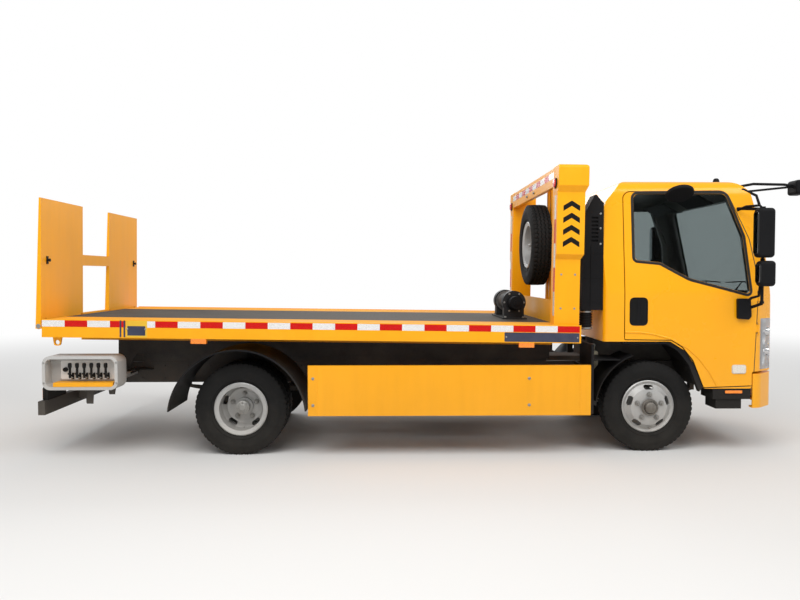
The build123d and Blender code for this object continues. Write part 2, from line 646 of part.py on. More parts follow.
def tilt_frame():
    """Two box beams with cross tubes, pivot ears, eye lugs and the slide cylinder's barrel."""
    z0, z1 = TILT_BEAM_Z
    y0, y1 = TILT_BEAM_Y
    beam = block((TILT_REAR_X, TILT_FRONT_X), TILT_BEAM_Y, TILT_BEAM_Z)
    ear_y = (RAIL_OUTER_Y + PIN_CLEARANCE, RAIL_OUTER_Y + PIN_CLEARANCE + EAR_THICKNESS)
    ear = side_prism([(PIVOT_X - 50, z0 + 20), (PIVOT_X - 48, PIVOT_Z), (PIVOT_X, PIVOT_Z - 50),
                      (PIVOT_X + 48, PIVOT_Z), (PIVOT_X + 110, z0 + 20)], ear_y, [0, 45, 45, 45, 0])
    ear -= rod_y(PIVOT_PIN_RADIUS + RUNNING_FIT, (ear_y[0] - 1, ear_y[1] + 1), PIVOT_X, PIVOT_Z)
    frame = beam + ear
    frame += mirrored(frame)
    eye_x, eye_z = level_eye()
    cross_x = eye_x + 115
    for x in (TILT_REAR_X + 60, TILT_CROSS_X, cross_x, TILT_FRONT_X - 60):
        frame += block((x - 40, x + 40), (-y0, y0), (z0 + 10, z1 - 5))
    for x in (SLIDE_BARREL_X[0] + 60, SLIDE_BARREL_X[1] - 20):
        frame += block((x - 20, x + 20), (-y0, y0), (z0 + 10, z1 - 5))
        frame += block((x - 20, x + 20), (-60, 60), (z1 - 6, SLIDE_CYLINDER_Z))
    for side in (-1, 1):
        for offset in (-1, 1):
            y_mid = side * CYLINDER_Y + offset * 38
            outline = [(eye_x - 24, eye_z), (eye_x, eye_z - 24), (cross_x, z0 + 14), (cross_x, z1 - 14),
                       (eye_x, eye_z + 24)]
            frame += side_prism(outline, (y_mid - 8, y_mid + 8))
            frame += rod_y(CYLINDER_PIN_RADIUS + 6, sorted((y_mid, y_mid + offset * 16)), eye_x, eye_z)
    barrel = rod_x(SLIDE_BARREL_RADIUS, SLIDE_BARREL_X, 0, SLIDE_CYLINDER_Z)
    frame += barrel
    frame -= rod_x(SLIDE_ROD_RADIUS + RUNNING_FIT, (SLIDE_BARREL_X[0] - 1, SLIDE_BARREL_X[1] - 40), 0,
                   SLIDE_CYLINDER_Z)
    return raked(frame)


def level_eye():
    """The rod eye's place in the bed's level frame."""
    dx = CYLINDER_EYE[0] - PIVOT_X
    dz = CYLINDER_EYE[1] - PIVOT_Z
    lean = radians(RAKE)
    return (PIVOT_X + dx * cos(lean) - dz * sin(lean), PIVOT_Z + dx * sin(lean) + dz * cos(lean))


def deck_frame():
    """Side rails, long beams, cross members, tail beam, hinge lugs and the slide rod."""
    z0, z1 = BED_RAIL_Z
    half = BED_HALF_WIDTH
    rail = block((BED_REAR_X, BED_FRONT_X), (half - BED_RAIL_WIDTH, half), BED_RAIL_Z)
    rail -= block((BED_REAR_X + BED_WALL, BED_FRONT_X - BED_WALL),
                  (half - BED_RAIL_WIDTH - 1, half - BED_WALL), (z0 + BED_WALL, DECK_TOP_Z - DECK_THICKNESS))
    rail -= block((BED_REAR_X - 1, BED_FRONT_X + 1), (half - BED_RAIL_WIDTH - 1, half - 20),
                  (DECK_TOP_Z, z1 + 1))
    beam_z = (TILT_BEAM_Z[1] + SEAT_GAP, DECK_TOP_Z - DECK_THICKNESS - CROSS_MEMBER_HEIGHT / 2)
    beam = block((BED_REAR_X + 10, BED_FRONT_X - 70), BED_BEAM_Y, beam_z)
    frame = rail + mirrored(rail) + beam + mirrored(beam)
    top = DECK_TOP_Z - DECK_THICKNESS
    length = BED_FRONT_X - BED_REAR_X - 2 * CROSS_MEMBER_WIDTH
    count = round(length / CROSS_MEMBER_PITCH)
    for index in range(count + 1):
        x = BED_REAR_X + CROSS_MEMBER_WIDTH + index * length / count
        frame += block((x - CROSS_MEMBER_WIDTH / 2, x + CROSS_MEMBER_WIDTH / 2),
                       (-half + BED_WALL, half - BED_WALL), (top - CROSS_MEMBER_HEIGHT, top))
    frame += block((BED_REAR_X, BED_REAR_X + 30), (-half + 1, half - 1), (z0, top))
    for y in (-1000, -320, 320, 1000):
        lug = block((RAMP_HINGE_X, BED_REAR_X), (y - RAMP_LUG_WIDTH / 2, y + RAMP_LUG_WIDTH / 2),
                    (RAMP_HINGE_Z - 22, RAMP_HINGE_Z + 22))
        lug += rod_y(24, (y - RAMP_LUG_WIDTH / 2, y + RAMP_LUG_WIDTH / 2), RAMP_HINGE_X, RAMP_HINGE_Z)
        lug -= rod_y(RAMP_PIN_RADIUS + RUNNING_FIT, (y - 20, y + 20), RAMP_HINGE_X, RAMP_HINGE_Z)
        frame += lug
    rod_end = SLIDE_BARREL_X[0] - 60
    frame += rod_x(SLIDE_ROD_RADIUS, (rod_end, SLIDE_BARREL_X[1] - 60), 0, SLIDE_CYLINDER_Z)
    frame += block((rod_end - 40, rod_end), (-35, 35), (SLIDE_CYLINDER_Z - 35, top - 10))
    frame += block((rod_end - 50, rod_end + 10), (-BED_BEAM_Y[1], BED_BEAM_Y[1]),
                   (top - CROSS_MEMBER_HEIGHT, top))
    lug_x, lug_z = TIE_LUG
    lug = side_prism([(lug_x - 36, z0), (lug_x + 36, z0), (lug_x + 24, lug_z - 26), (lug_x - 24, lug_z - 26)],
                     (half - 60, half - 60 + TIE_LUG_THICKNESS), [0, 0, 18, 18])
    lug -= rod_y(TIE_LUG_BORE, (half - 80, half - 20), lug_x, lug_z)
    frame += lug + mirrored(lug)
    return raked(frame)


def deck_plates():
    """The floor: a long centre plate, a short one under the winch and headboard, and the side strips."""
    z = (DECK_TOP_Z - DECK_THICKNESS, DECK_TOP_Z)
    edge = BED_HALF_WIDTH - BED_RAIL_WIDTH
    inner = BED_HALF_WIDTH - SIDE_STRIP_WIDTH
    seam = WINCH_X - WINCH_BED_HALF - 40
    centre = block((BED_REAR_X, seam), (-inner, inner), z)
    front = block((seam + SEAT_GAP, BED_FRONT_X), (-inner, inner), z)
    strip = block((BED_REAR_X, BED_FRONT_X), (inner, edge), z)
    plates = [centre, front, strip, mirrored(strip)]
    return raked(Compound([solid for plate in plates for solid in plate.solids()]))


def headboard():
    """Two cranked pillars joined by a top beam, a low panel and the spare wheel's carrier."""
    x0, x1 = PILLAR_X
    head = PILLAR_HEAD_X
    k0, k1 = PILLAR_KINK_Z
    h0, h1 = PILLAR_HEAD_Z
    outline = [(x0, DECK_TOP_Z), (x1, DECK_TOP_Z), (x1, k0), (x1 + 20, k1), (x1 + 20, h0), (head, h1),
               (head, PILLAR_TOP_Z), (x0, PILLAR_TOP_Z)]
    outer = PILLAR_OUTER_Y
    inside = outer - PILLAR_WIDTH
    pillar = side_prism(outline, (inside, outer + 2 * PILLAR_FLARE), [0, 0, 8, 8, 8, 8, 26, 12])
    waist = outer + PILLAR_FLARE
    crown = waist + PILLAR_FLARE
    section = [(inside, DECK_TOP_Z), (outer, DECK_TOP_Z), (outer, k0), (waist, k1), (waist, h0), (crown, h1),
               (crown, PILLAR_TOP_Z), (inside, PILLAR_TOP_Z)]
    pillar &= front_prism(section, (x0 - 1, head + 1), [0, 0, 10, 10, 10, 10, 30, 0])
    board = pillar + mirrored(pillar)
    top = PILLAR_TOP_Z
    beam = [(x0, top - 160), (x0 + 40, top - 160), (x0 + 150, top - 100), (x0 + 150, top - 12),
            (x0, top - 12)]
    board += side_prism(beam, (-inside, inside))
    board += block((x0 + 60, x0 + 90), (-inside, inside), (DECK_TOP_Z, DECK_TOP_Z + 190))
    for y in (-60, 60):
        board += block((SPARE_X + 55, SPARE_X + 85), (y - 25, y + 25), (DECK_TOP_Z, PILLAR_TOP_Z - 20))
    board += block((x0 + 100, SPARE_X + 85), (-85, 85), (PILLAR_TOP_Z - 60, PILLAR_TOP_Z - 20))
    board += block((SPARE_X + 40, SPARE_X + 56), (-85, 85), (SPARE_Z - 85, SPARE_Z + 85))
    return raked(board)


def spare_wheel():
    """Spare tyre and rim, standing across the truck against the carrier."""
    place = Pos(SPARE_X + 40 - SEAT_GAP - DISC_OFFSET, 0, SPARE_Z) * Rot(0, 0, 90)
    return raked(place * tyre(0)), raked(place * rim(-1, 0))


def winch():
    """Winch bed with end housings at the front of the deck."""
    base = block((WINCH_X - WINCH_BED_HALF, WINCH_X + WINCH_BED_HALF), (-320, 320),
                 (DECK_TOP_Z, DECK_TOP_Z + 14))
    for side in (-1, 1):
        y = side * (DRUM_HALF + 60)
        base += rod_y(105, (y - 50, y + 50), WINCH_X, WINCH_Z)
        base += block((WINCH_X - 90, WINCH_X + 90), (y - 50, y + 50), (DECK_TOP_Z, WINCH_Z - 40))
    shaft = rod_y(18, (-DRUM_HALF - 20, DRUM_HALF + 20), WINCH_X, WINCH_Z)
    return raked(base + shaft)


def winch_drum():
    """Drum with its flanges and the wound rope as a plain sleeve."""
    drum = rod_y(DRUM_RADIUS + 25, (-DRUM_HALF + 10, DRUM_HALF - 10), WINCH_X, WINCH_Z)
    for side in (-1, 1):
        y = side * (DRUM_HALF - 5)
        drum += rod_y(95, (y - 6, y + 6), WINCH_X, WINCH_Z)
    drum -= rod_y(18 + RUNNING_FIT, (-DRUM_HALF - 1, DRUM_HALF + 1), WINCH_X, WINCH_Z)
    return raked(drum)


def rail_lamps():
    """Amber side lamps under the bed's rails."""
    lamps = []
    for x in (-2030 + 150, 740 - 40):
        lamps.append(block((x, x + 120), (-BED_HALF_WIDTH, -BED_HALF_WIDTH + 40),
                           (BED_RAIL_Z[0] - 38, BED_RAIL_Z[0])))
    return raked(both(Compound([solid for lamp in lamps for solid in lamp.solids()])))


def ramp():
    """H-shaped ramp: two tapered plates, a middle beam and a base plate on the hinge pin."""
    base = RAMP_BASE_THICKNESS / 2
    front = RAMP_HINGE_X + base
    low = RAMP_HINGE_Z - 20
    outline = [(RAMP_HINGE_X - base, low), (front, low), (front, RAMP_TOP_Z),
               (front - RAMP_TIP_THICKNESS, RAMP_TOP_Z)]
    inner = RAMP_GAP / 2
    plate = side_prism(outline, (inner, RAMP_HALF_WIDTH))
    piece = plate + mirrored(plate)
    piece += block((front - 40, front), (-inner, inner), (1545, 1640))
    piece += block((front - 40, front), (-inner, inner), (low, 1125))
    for y in (-1000, -320, 320, 1000):
        half = RAMP_LUG_WIDTH / 2 + 6
        piece -= block((RAMP_HINGE_X - 60, front + 30), (y - half, y + half), (low - 1, RAMP_HINGE_Z + 60))
    piece += rod_y(RAMP_PIN_RADIUS, (-RAMP_HALF_WIDTH + 20, RAMP_HALF_WIDTH - 20), RAMP_HINGE_X, RAMP_HINGE_Z)
    return raked(piece)


def cylinder_line():
    """Foot, direction and length of a tilt cylinder at rest."""
    foot = Vector(CYLINDER_FOOT[0], 0, CYLINDER_FOOT[1])
    eye = Vector(CYLINDER_EYE[0], 0, CYLINDER_EYE[1])
    run = eye - foot
    return foot, run.normalized(), run.length


def tilt_barrels():
    """Barrels of the tilt cylinders, on their foot pins."""
    foot, way, length = cylinder_line()
    pieces = []
    for side in (-1, 1):
        start = foot + Vector(0, side * CYLINDER_Y, 0)
        body = bar(CYLINDER_RADIUS, tuple(start + way * 40), tuple(start + way * (length - 110)))
        body += rod_y(EYE_RADIUS, (start.Y - 22, start.Y + 22), start.X, start.Z)
        body += bar(26, tuple(start), tuple(start + way * 60))
        body -= rod_y(CYLINDER_PIN_RADIUS + RUNNING_FIT, (start.Y - 60, start.Y + 60), start.X, start.Z)
        body -= bar(TILT_ROD_RADIUS + RUNNING_FIT, tuple(start + way * 70), tuple(start + way * length))
        pieces += body.solids()
    return Compound(pieces)


def tilt_rods():
    """Rods of the tilt cylinders, each with an open eye at the tilt frame."""
    foot, way, length = cylinder_line()
    pieces = []
    for side in (-1, 1):
        start = foot + Vector(0, side * CYLINDER_Y, 0)
        eye = start + way * length
        body = bar(TILT_ROD_RADIUS, tuple(start + way * 90), tuple(eye - way * 20))
        body += rod_y(EYE_RADIUS, (eye.Y - 22, eye.Y + 22), eye.X, eye.Z)
        pieces += body.solids()
    return Compound(pieces)


# Cab

def cab_form(inset):
    """The cab's outer body, or its inner space when inset by the wall."""
    rear = CAB_REAR_X + inset
    front = CAB_FRONT_X - inset
    roof = CAB_ROOF_Z - inset
    floor = CAB_FLOOR_Z + inset
    nose_low = NOSE_LOW_Z + inset
    a = FRONT_AXLE_X
    side = [(rear, floor), (a + 143, floor), (a + 262 + inset / 2, 850 + inset),
            (a + 345 + inset, 740 + inset), (a + 424 + inset, 538 + inset),
            (a + 818 - inset, 538 + inset), (a + 818 - inset, nose_low),
            (front - 6, nose_low), (front, 1000), (front - 20, 1300),
            (front - 230, roof - 90), (front - 330, roof), (rear + 170, roof), (rear + 30, roof - 170),
            (rear, roof - 240)]
    radii = [0, 50, 40, 50, 16, 16, 16, 10, 200, 120, 160, 160, 120, 60, 60]
    body = side_prism(side, (-CAB_HALF_WIDTH, CAB_HALF_WIDTH), radii)
    half = CAB_HALF_WIDTH - inset
    section = [(-half, 400), (half, 400), (half, WAIST_Z), (half - SIDE_LEAN, roof + 1),
               (-half + SIDE_LEAN, roof + 1), (-half, WAIST_Z)]
    body &= front_prism(section, (rear - 10, front + 10), [0, 0, 300, 130, 130, 300])
    plan = [(rear - 1, -half), (front - 200, -half), (front + 8, -half + 150), (front + 8, half - 150),
            (front - 200, half), (rear - 1, half)]
    body &= plan_prism(plan, (400, roof + 20), [40, 180, 120, 120, 180, 40])
    tunnel = TUNNEL_HALF_WIDTH + inset
    body -= block((rear - 1, CAB_FRONT_X - 50 + inset), (-tunnel, tunnel), (400, TUNNEL_TOP_Z + inset))
    return body


DOOR_OUTLINE = [  # x from the front axle, z, corner radius
    (-235, 940, 12), (-235, CAB_ROOF_Z - 95, 60), (620, CAB_ROOF_Z - 85, 90), (800, 1760, 120),
    (872, 1380, 60), (832, 560, 20),
    (420, 545, 20), (330, 770, 60), (240, 880, 60), (150, 935, 40)]
WINDOW_OUTLINE = [
    (-148, 1590, 30), (-148, CAB_ROOF_Z - 115, 40), (610, CAB_ROOF_Z - 110, 60), (745, 1780, 80),
    (792, 1310, 25), (300, 1440, 200), (60, 1570, 60)]


def outline_prism(table, y, grow=0):
    """A prism from a table of x from the front axle, z and corner radius, grown or shrunk."""
    points = [(FRONT_AXLE_X + x, z) for x, z, radius in table]
    radii = [radius for x, z, radius in table]
    plane = Plane((0, y[1], 0), x_dir=(1, 0, 0), z_dir=(0, -1, 0))
    face = make_face(FilletPolyline(*points, radius=radii, close=True))
    if grow:
        face = offset(face, grow, kind=Kind.INTERSECTION)
    return extrude(plane * face, y[1] - y[0], dir=(0, -1, 0))


def side_zone(gap):
    """The room that the right side wall takes, and a gap more inside it."""
    outer = -CAB_HALF_WIDTH - 10
    inner = -CAB_HALF_WIDTH + CAB_WALL + gap
    leant = inner + SIDE_LEAN
    section = [(outer, 400), (inner, 400), (inner, WAIST_Z), (leant, CAB_ROOF_Z - CAB_WALL),
               (leant, CAB_ROOF_Z), (outer, CAB_ROOF_Z)]
    return front_prism(section, (CAB_REAR_X, CAB_FRONT_X))


def door_hinges():
    """The right door's hinges: barrels with arms, their pockets, fixed pins and the door's relief."""
    x = DOOR_HINGE_X
    y = -DOOR_HINGE_Y
    barrels = []
    pockets = []
    pins = []
    reliefs = []
    for z0, z1 in KNUCKLES_Z:
        low = z0 - PIN_CLEARANCE
        high = z1 + PIN_CLEARANCE
        barrel = rod_z(KNUCKLE_RADIUS, (z0, z1), x, y) + block((x - 36, x), (y - 4, y + 6), (z0, z1))
        barrels.append(barrel - rod_z(DOOR_PIN_RADIUS + RUNNING_FIT, (z0 - 1, z1 + 1), x, y))
        pockets.append(rod_z(KNUCKLE_RADIUS + PIN_CLEARANCE, (low, high), x, y)
                       + block((x - 30, x), (y - 30, y + 14), (low, high)))
        pins.append(rod_z(DOOR_PIN_RADIUS, (low - KNUCKLE_LUG / 2, high + KNUCKLE_LUG / 2), x, y)
                    + rod_z(KNUCKLE_RADIUS, (low - KNUCKLE_LUG, low), x, y)
                    + rod_z(KNUCKLE_RADIUS, (high, high + KNUCKLE_LUG), x, y))
        reliefs.append(rod_z(KNUCKLE_RADIUS + PIN_CLEARANCE,
                             (low - KNUCKLE_LUG - PIN_CLEARANCE, high + KNUCKLE_LUG + PIN_CLEARANCE), x, y))
    return barrels, pockets, pins, reliefs


def screen_outline(gap):
    """The windscreen's corners as (y, z), drawn in by a gap."""
    low = WAIST_Z + gap
    top = CAB_ROOF_Z - 135 - gap
    wide = SCREEN_HALF_WIDTH[0] - gap
    narrow = SCREEN_HALF_WIDTH[1] - gap
    return [(-wide, low), (wide, low), (narrow, top), (-narrow, top)]


def rear_window_outline(gap):
    """The rear window's corners as (y, z), drawn in by a gap."""
    low = WAIST_Z + 230 + gap
    top = CAB_ROOF_Z - 285 - gap
    half = REAR_WINDOW_HALF - gap
    return [(-half, low), (half, low), (half, top), (-half, top)]


def cab_parts():
    """Shell, front, glass and doors, cut from one hollow body so that they fit each other."""
    outer = cab_form(0)
    hollow = outer - cab_form(CAB_WALL)
    door_band = (-CAB_HALF_WIDTH - 10, -CAB_HALF_WIDTH + 190)
    door_hole = outline_prism(DOOR_OUTLINE, door_band, DOOR_GAP / 2) & side_zone(DOOR_GAP)
    door_body = outline_prism(DOOR_OUTLINE, door_band, -DOOR_GAP / 2) & side_zone(-SEAT_GAP)
    window = outline_prism(WINDOW_OUTLINE, door_band)
    door = (outer & door_body) - window
    recess = side_prism([(HANDLE_X[0], HANDLE_Z[0]), (HANDLE_X[1], HANDLE_Z[0]), (HANDLE_X[1], HANDLE_Z[1]),
                         (HANDLE_X[0], HANDLE_Z[1])], (-CAB_HALF_WIDTH - 10, -CAB_HALF_WIDTH + HANDLE_DEPTH),
                        [HANDLE_CORNER] * 4)
    middle = sum(HANDLE_X) / 2
    grip = block((middle - 13, middle + 13), (-CAB_HALF_WIDTH + 2, -CAB_HALF_WIDTH + 14),
                 (HANDLE_Z[0] - 1, HANDLE_Z[1] + 1))
    door = door - recess + grip
    barrels, pockets, pins, reliefs = door_hinges()
    for barrel, relief in zip(barrels, reliefs):
        door = door - relief + barrel
    glass_zone = outline_prism(WINDOW_OUTLINE, door_band, -GLASS_GAP)
    mid = cab_form(16) - cab_form(22)
    door_glass = mid & glass_zone
    shell = hollow - door_hole - mirrored(door_hole)
    for pocket, pin in zip(pockets, pins):
        shell = shell - pocket - mirrored(pocket) + pin + mirrored(pin)
    screen_x = (CAB_FRONT_X - 420, CAB_FRONT_X + 20)
    rear_x = (CAB_REAR_X - 10, CAB_REAR_X + 90)
    screen_cut = front_prism(screen_outline(0), screen_x, [60] * 4)
    rear_cut = front_prism(rear_window_outline(0), rear_x, [40] * 4)
    screen_zone = front_prism(screen_outline(GLASS_GAP), screen_x, [60] * 4)
    rear_zone = front_prism(rear_window_outline(GLASS_GAP), rear_x, [40] * 4)
    glass = (mid & screen_zone).solids() + (mid & rear_zone).solids()
    shell = shell - screen_cut - rear_cut
    lamp_x = (FRONT_AXLE_X + 900, CAB_FRONT_X + 10)
    lamps = []
    for side in (-1, 1):
        hole = block(lamp_x, (-CAB_HALF_WIDTH - 10, -LAMP_INNER_Y), LAMP_Z)
        body = block((lamp_x[0] + SEAT_GAP, lamp_x[1]), (-CAB_HALF_WIDTH - 9, -LAMP_INNER_Y - SEAT_GAP),
                     (LAMP_Z[0] + SEAT_GAP, LAMP_Z[1] - SEAT_GAP))
        hole = hole if side < 0 else mirrored(hole)
        body = body if side < 0 else mirrored(body)
        lamps += (hollow & body).solids()
        shell -= hole
    front_zone = block((FRONT_AXLE_X + 890, CAB_FRONT_X + 10), (-740, 740), (760, 1290))
    front_body = shell & block((FRONT_AXLE_X + 890.4, CAB_FRONT_X + 10), (-739.6, 739.6), (760.4, 1289.6))
    shell = shell - front_zone
    pitch = (GRILLE_Z[1] - GRILLE_Z[0]) / GRILLE_SLOTS
    for index in range(GRILLE_SLOTS):
        low = GRILLE_Z[0] + index * pitch
        front_body -= block((CAB_FRONT_X - GRILLE_DEPTH, CAB_FRONT_X + 10), (-GRILLE_Y, GRILLE_Y),
                            (low, low + pitch * 0.55))
    ear_y = (RAIL_OUTER_Y + 2 * PIN_CLEARANCE, TUNNEL_HALF_WIDTH + 10)
    x, z, r = CAB_HINGE_X, CAB_HINGE_Z, CAB_EAR_RADIUS
    low = NOSE_LOW_Z + 50
    ear = side_prism([(x - r, low), (x - r, z), (x, z - r), (x + r, z), (x + r, low)], ear_y,
                     [0, 20, 20, 20, 0])
    ear -= rod_y(CAB_PIN_RADIUS + RUNNING_FIT, (ear_y[0] - 1, ear_y[1] + 1), x, z)
    shell += ear + mirrored(ear)
    return shell, front_body, Compound(glass), Compound(lamps), door, door_glass


def dashboard():
    """Dash across the cab with the steering column and wheel on the left."""
    x0 = CAB_FRONT_X - 420
    dash = side_prism([(x0, 1000), (CAB_FRONT_X, 1000), (CAB_FRONT_X, 1290), (x0 + 60, 1330), (x0, 1250)],
                      (-860, 860), [20, 0, 0, 20, 20])
    dash &= cab_form(CAB_WALL + SEAT_GAP)
    column = bar(25, (x0 + 20, 400, 1200), (x0 - 130, 400, 1300))
    ring = Plane((x0 - 130, 400, 1300), z_dir=(-0.55, 0, 0.84)) * Torus(205, 15)
    spokes = Plane((x0 - 130, 400, 1300), z_dir=(-0.55, 0, 0.84)) * Box(400, 40, 14)
    return dash + column + ring + spokes


def seats():
    """Driver's seat on the left and a double bench on the right."""
    rear = CAB_REAR_X + CAB_WALL
    pieces = []
    for y0, y1 in ((130, 620), (-640, 60)):
        cushion = block((rear + 130, rear + 620), (y0, y1), (CAB_FLOOR_Z + CAB_WALL, 1180))
        back = side_prism([(rear + 20, 1180.4), (rear + 150, 1180.4), (rear + 110, 1830), (rear + 10, 1830)],
                          (y0, y1), [10, 10, 30, 10])
        pieces += [*cushion.solids(), *back.solids()]
    return Compound(pieces)


def door_mirror():
    """Right door mirror: arm with a large head and a small one below."""
    x = CAB_FRONT_X - 240
    skin = -CAB_HALF_WIDTH + 25
    out = -CAB_HALF_WIDTH - 150
    corners = [(x - 30, skin, 1190), (x, out, 1240), (x, out, 1990), (x - 110, skin + 25, 2010)]
    arm = bar(12, corners[0], corners[1])
    for start, end in zip(corners[1:], corners[2:]):
        arm += bar(12, start, end)
    heads = rounded_block((x - 80, x + 60), (out - 90, out + 5), (1604, 1994), 30) \
        + rounded_block((x - 60, x + 70), (out - 90, out + 5), (1378, 1580), 30)
    return arm + heads - cab_form(0)


def kerb_mirror():
    """Round mirror over the right door, on a stalk from the door's upper edge."""
    x = FRONT_AXLE_X + 180
    y = -CAB_HALF_WIDTH - 55
    z = 2120
    disc = Cylinder(110, 34)
    disc = Pos(x, y, z) * Rot(-28, 0, 0) * fillet(disc.edges(), 12)
    return disc + bar(9, (x, y, z), (x, y + 160, z + 20)) - cab_form(0)


def roof_mirrors():
    """Front-view mirror on an arm from the roof's edge."""
    front = CAB_FRONT_X + MIRROR_REACH
    y = -CAB_HALF_WIDTH + 130
    middle = CAB_ROOF_Z - 55
    arm = bar(9, (CAB_FRONT_X - 380, y + 100, middle - 40), (front - 78, y, middle + 10))
    head = rounded_block((front - 98, front), (y - 80, y + 80), (middle - 60, middle + 60), 24)
    return arm + head - cab_form(0)


def snorkel():
    """Air intake stack up the cab's rear wall: pointed head, louvred mouth, ribbed sleeve at its foot."""
    front = CAB_REAR_X
    rear = front - SNORKEL_DEPTH
    outer, inner = SNORKEL_Y
    top = SNORKEL_TOP_Z
    outline = [(rear, 1180), (front, 1180), (front, top - 82), (front - 70, top), (rear + 34, top - 147)]
    stack = side_prism(outline, SNORKEL_Y, [20, 0, 10, 14, 60])
    for index in range(LOUVRE_COUNT):
        z = 1738 + index * LOUVRE_PITCH
        stack -= block((front - 100, front - 44), (outer - 1, outer + 14), (z, z + LOUVRE_PITCH * 0.55))
    middle = rear + BELLOWS_RADIUS + 2
    for index in range(BELLOWS_RIBS):
        z = 1026 + index * 22
        stack += rod_z(BELLOWS_RADIUS, (z, z + 12), middle, (outer + inner) / 2)
    return stack + rod_z(BELLOWS_RADIUS - 9, (1020, 1190), middle, (outer + inner) / 2)


def cab_steps():
    """Step under each door."""
    outer = -CAB_HALF_WIDTH + 5
    step = block((2330, 2640), (outer, outer + 225), (450, 538 - SEAT_GAP)) \
        + block((2360, 2570), (outer + 10, outer + 205), (370, 452))
    return both(step)


def main():
    os.makedirs("parts", exist_ok=True)
    nodes = {
        "frame_rails": frame_rails(), "front_axle": front_axle(), "rear_axle": rear_axle(),
        "engine_block": engine_block(), "exhaust": exhaust(), "fuel_tank": fuel_tank(),
        "side_guards": side_guards(),
        "front_bumper": front_bumper(), "rear_bar": rear_bar(), "tail_lamps": tail_lamps(),
        "mudguards": mudguards(), "control_boxes": control_boxes(), "coolant_bottle": coolant_bottle(),
        "tilt_base": tilt_base(), "tie_rod": tie_rod(), "tilt_frame": tilt_frame(),
        "deck_frame": deck_frame(), "deck_plates": deck_plates(), "headboard": headboard(),
        "winch": winch(), "winch_drum": winch_drum(),
        "rail_lamps": rail_lamps(), "ramp": ramp(), "tilt_barrels": tilt_barrels(),
        "tilt_rods": tilt_rods(), "dashboard": dashboard(), "seats": seats(),
        "roof_mirrors": roof_mirrors(), "snorkel": snorkel(), "cab_steps": cab_steps(),
    }
    nodes["spare_tyre"], nodes["spare_rim"] = spare_wheel()
    left = {"knuckle": knuckle()}
    left["front_tyre"], left["front_rim"] = front_wheel()
    left["rear_tyres"], left["rear_rims"] = rear_wheel()
    shell, front, glass, lamps, door, door_glass = cab_parts()
    nodes.update(cab_shell=shell, cab_front=front, cab_glass=glass, headlamps=lamps)
    right = {"door": door, "door_glass": door_glass, "door_mirror": door_mirror()}
    for name, piece in left.items():
        nodes[f"{name}_left"] = piece
        nodes[f"{name}_right"] = mirrored(piece)
    for name, piece in right.items():
        nodes[f"{name}_right"] = piece
        nodes[f"{name}_left"] = mirrored(piece)
    nodes["door_mirror_right"] = Compound([*right["door_mirror"].solids(), *kerb_mirror().solids()])
    for name, piece in nodes.items():
        solids = piece.solids()
        export_step(Compound(solids) if len(solids) > 1 else solids[0], f"parts/{name}.step")


if __name__ == "__main__":
    main()
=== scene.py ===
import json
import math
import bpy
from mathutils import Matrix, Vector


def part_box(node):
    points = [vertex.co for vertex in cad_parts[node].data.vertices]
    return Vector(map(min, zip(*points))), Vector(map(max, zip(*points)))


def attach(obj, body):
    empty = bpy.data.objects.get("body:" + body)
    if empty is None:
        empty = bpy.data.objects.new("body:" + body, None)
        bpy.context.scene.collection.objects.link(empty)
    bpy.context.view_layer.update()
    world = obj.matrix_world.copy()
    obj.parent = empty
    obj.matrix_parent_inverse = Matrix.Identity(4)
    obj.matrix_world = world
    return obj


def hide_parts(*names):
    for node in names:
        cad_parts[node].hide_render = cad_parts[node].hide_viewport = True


bl_info = {
    "name": "Flatbed Tow Truck",
    "version": (1, 0, 0),
    "blender": (4, 5, 0),
    "location": "3D View > Sidebar > Tow Truck",
    "description": "Finishes, wheels, trim and studio for a sliding flatbed tow truck",
    "category": "Object",
}

import bmesh
import bpy
from bpy.props import FloatProperty, FloatVectorProperty, IntProperty, PointerProperty
from bpy.types import Operator, Panel, PropertyGroup
from mathutils import Matrix, Vector
from mathutils.bvhtree import BVHTree

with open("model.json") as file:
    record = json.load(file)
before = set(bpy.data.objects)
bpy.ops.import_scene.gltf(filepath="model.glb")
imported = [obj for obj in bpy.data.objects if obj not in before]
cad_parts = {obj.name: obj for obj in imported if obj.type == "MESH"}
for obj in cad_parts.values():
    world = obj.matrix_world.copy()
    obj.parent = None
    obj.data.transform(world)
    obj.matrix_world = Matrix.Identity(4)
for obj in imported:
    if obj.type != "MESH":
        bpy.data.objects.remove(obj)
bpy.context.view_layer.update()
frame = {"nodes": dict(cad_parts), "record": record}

# Lengths are in millimetres in the truck's frame: x forward, y to its left, z up

MM = 0.001
PIVOT = (-2650.0, 650.0)
RAKE = math.radians(0.75)
NEARLY_STRAIGHT = math.radians(88)
SIDES = (("right", -1), ("left", 1))
OUT = {-1: "-y", 1: "y"}
REARWARD = (-1, 0, 0)
BESIDE = 1200.0
UPRIGHT_FRONT = (1, 0, 0.2)
FRONT_AXLE = (1830.0, 375.0)
REAR_AXLE = (-1530.0, 375.0)
TYRE_RADIUS = 375.0
FRONT_TRACK = 1504.0
REAR_TRACK = 1425.0
TWIN_SPACING = 215.0
DISC_OFFSET = TWIN_SPACING / 2
BED_X = (-3035.0, 1190.0)
BED_HALF = 1100.0
RAIL_TOP = 1120.0
DECK_TOP = 1114.0
PILLAR_FOOT_Y = 1045.0
PILLAR_Y = 1077.0
POST_Y = 1013.0
STRIP_Y = 680.0
WINCH = (800.0, 1264.0)
CAB_HALF = 930.0
CAB_FRONT = 2880.0
CAB_REAR = 1426.0
GUARD_Y = 1030.0
BOX_X = (-3039.0, -2451.0)
BOX_FLOOR = 565.0
BOX_Y = 1090.0
HANDLE_X = (1640.0, 1780.0)
HANDLE_Z = (1060.0, 1280.0)
GRILLE = (800.0, 1060.0, 6)
RAMP_HINGE = (-3073.0, 1062.0)
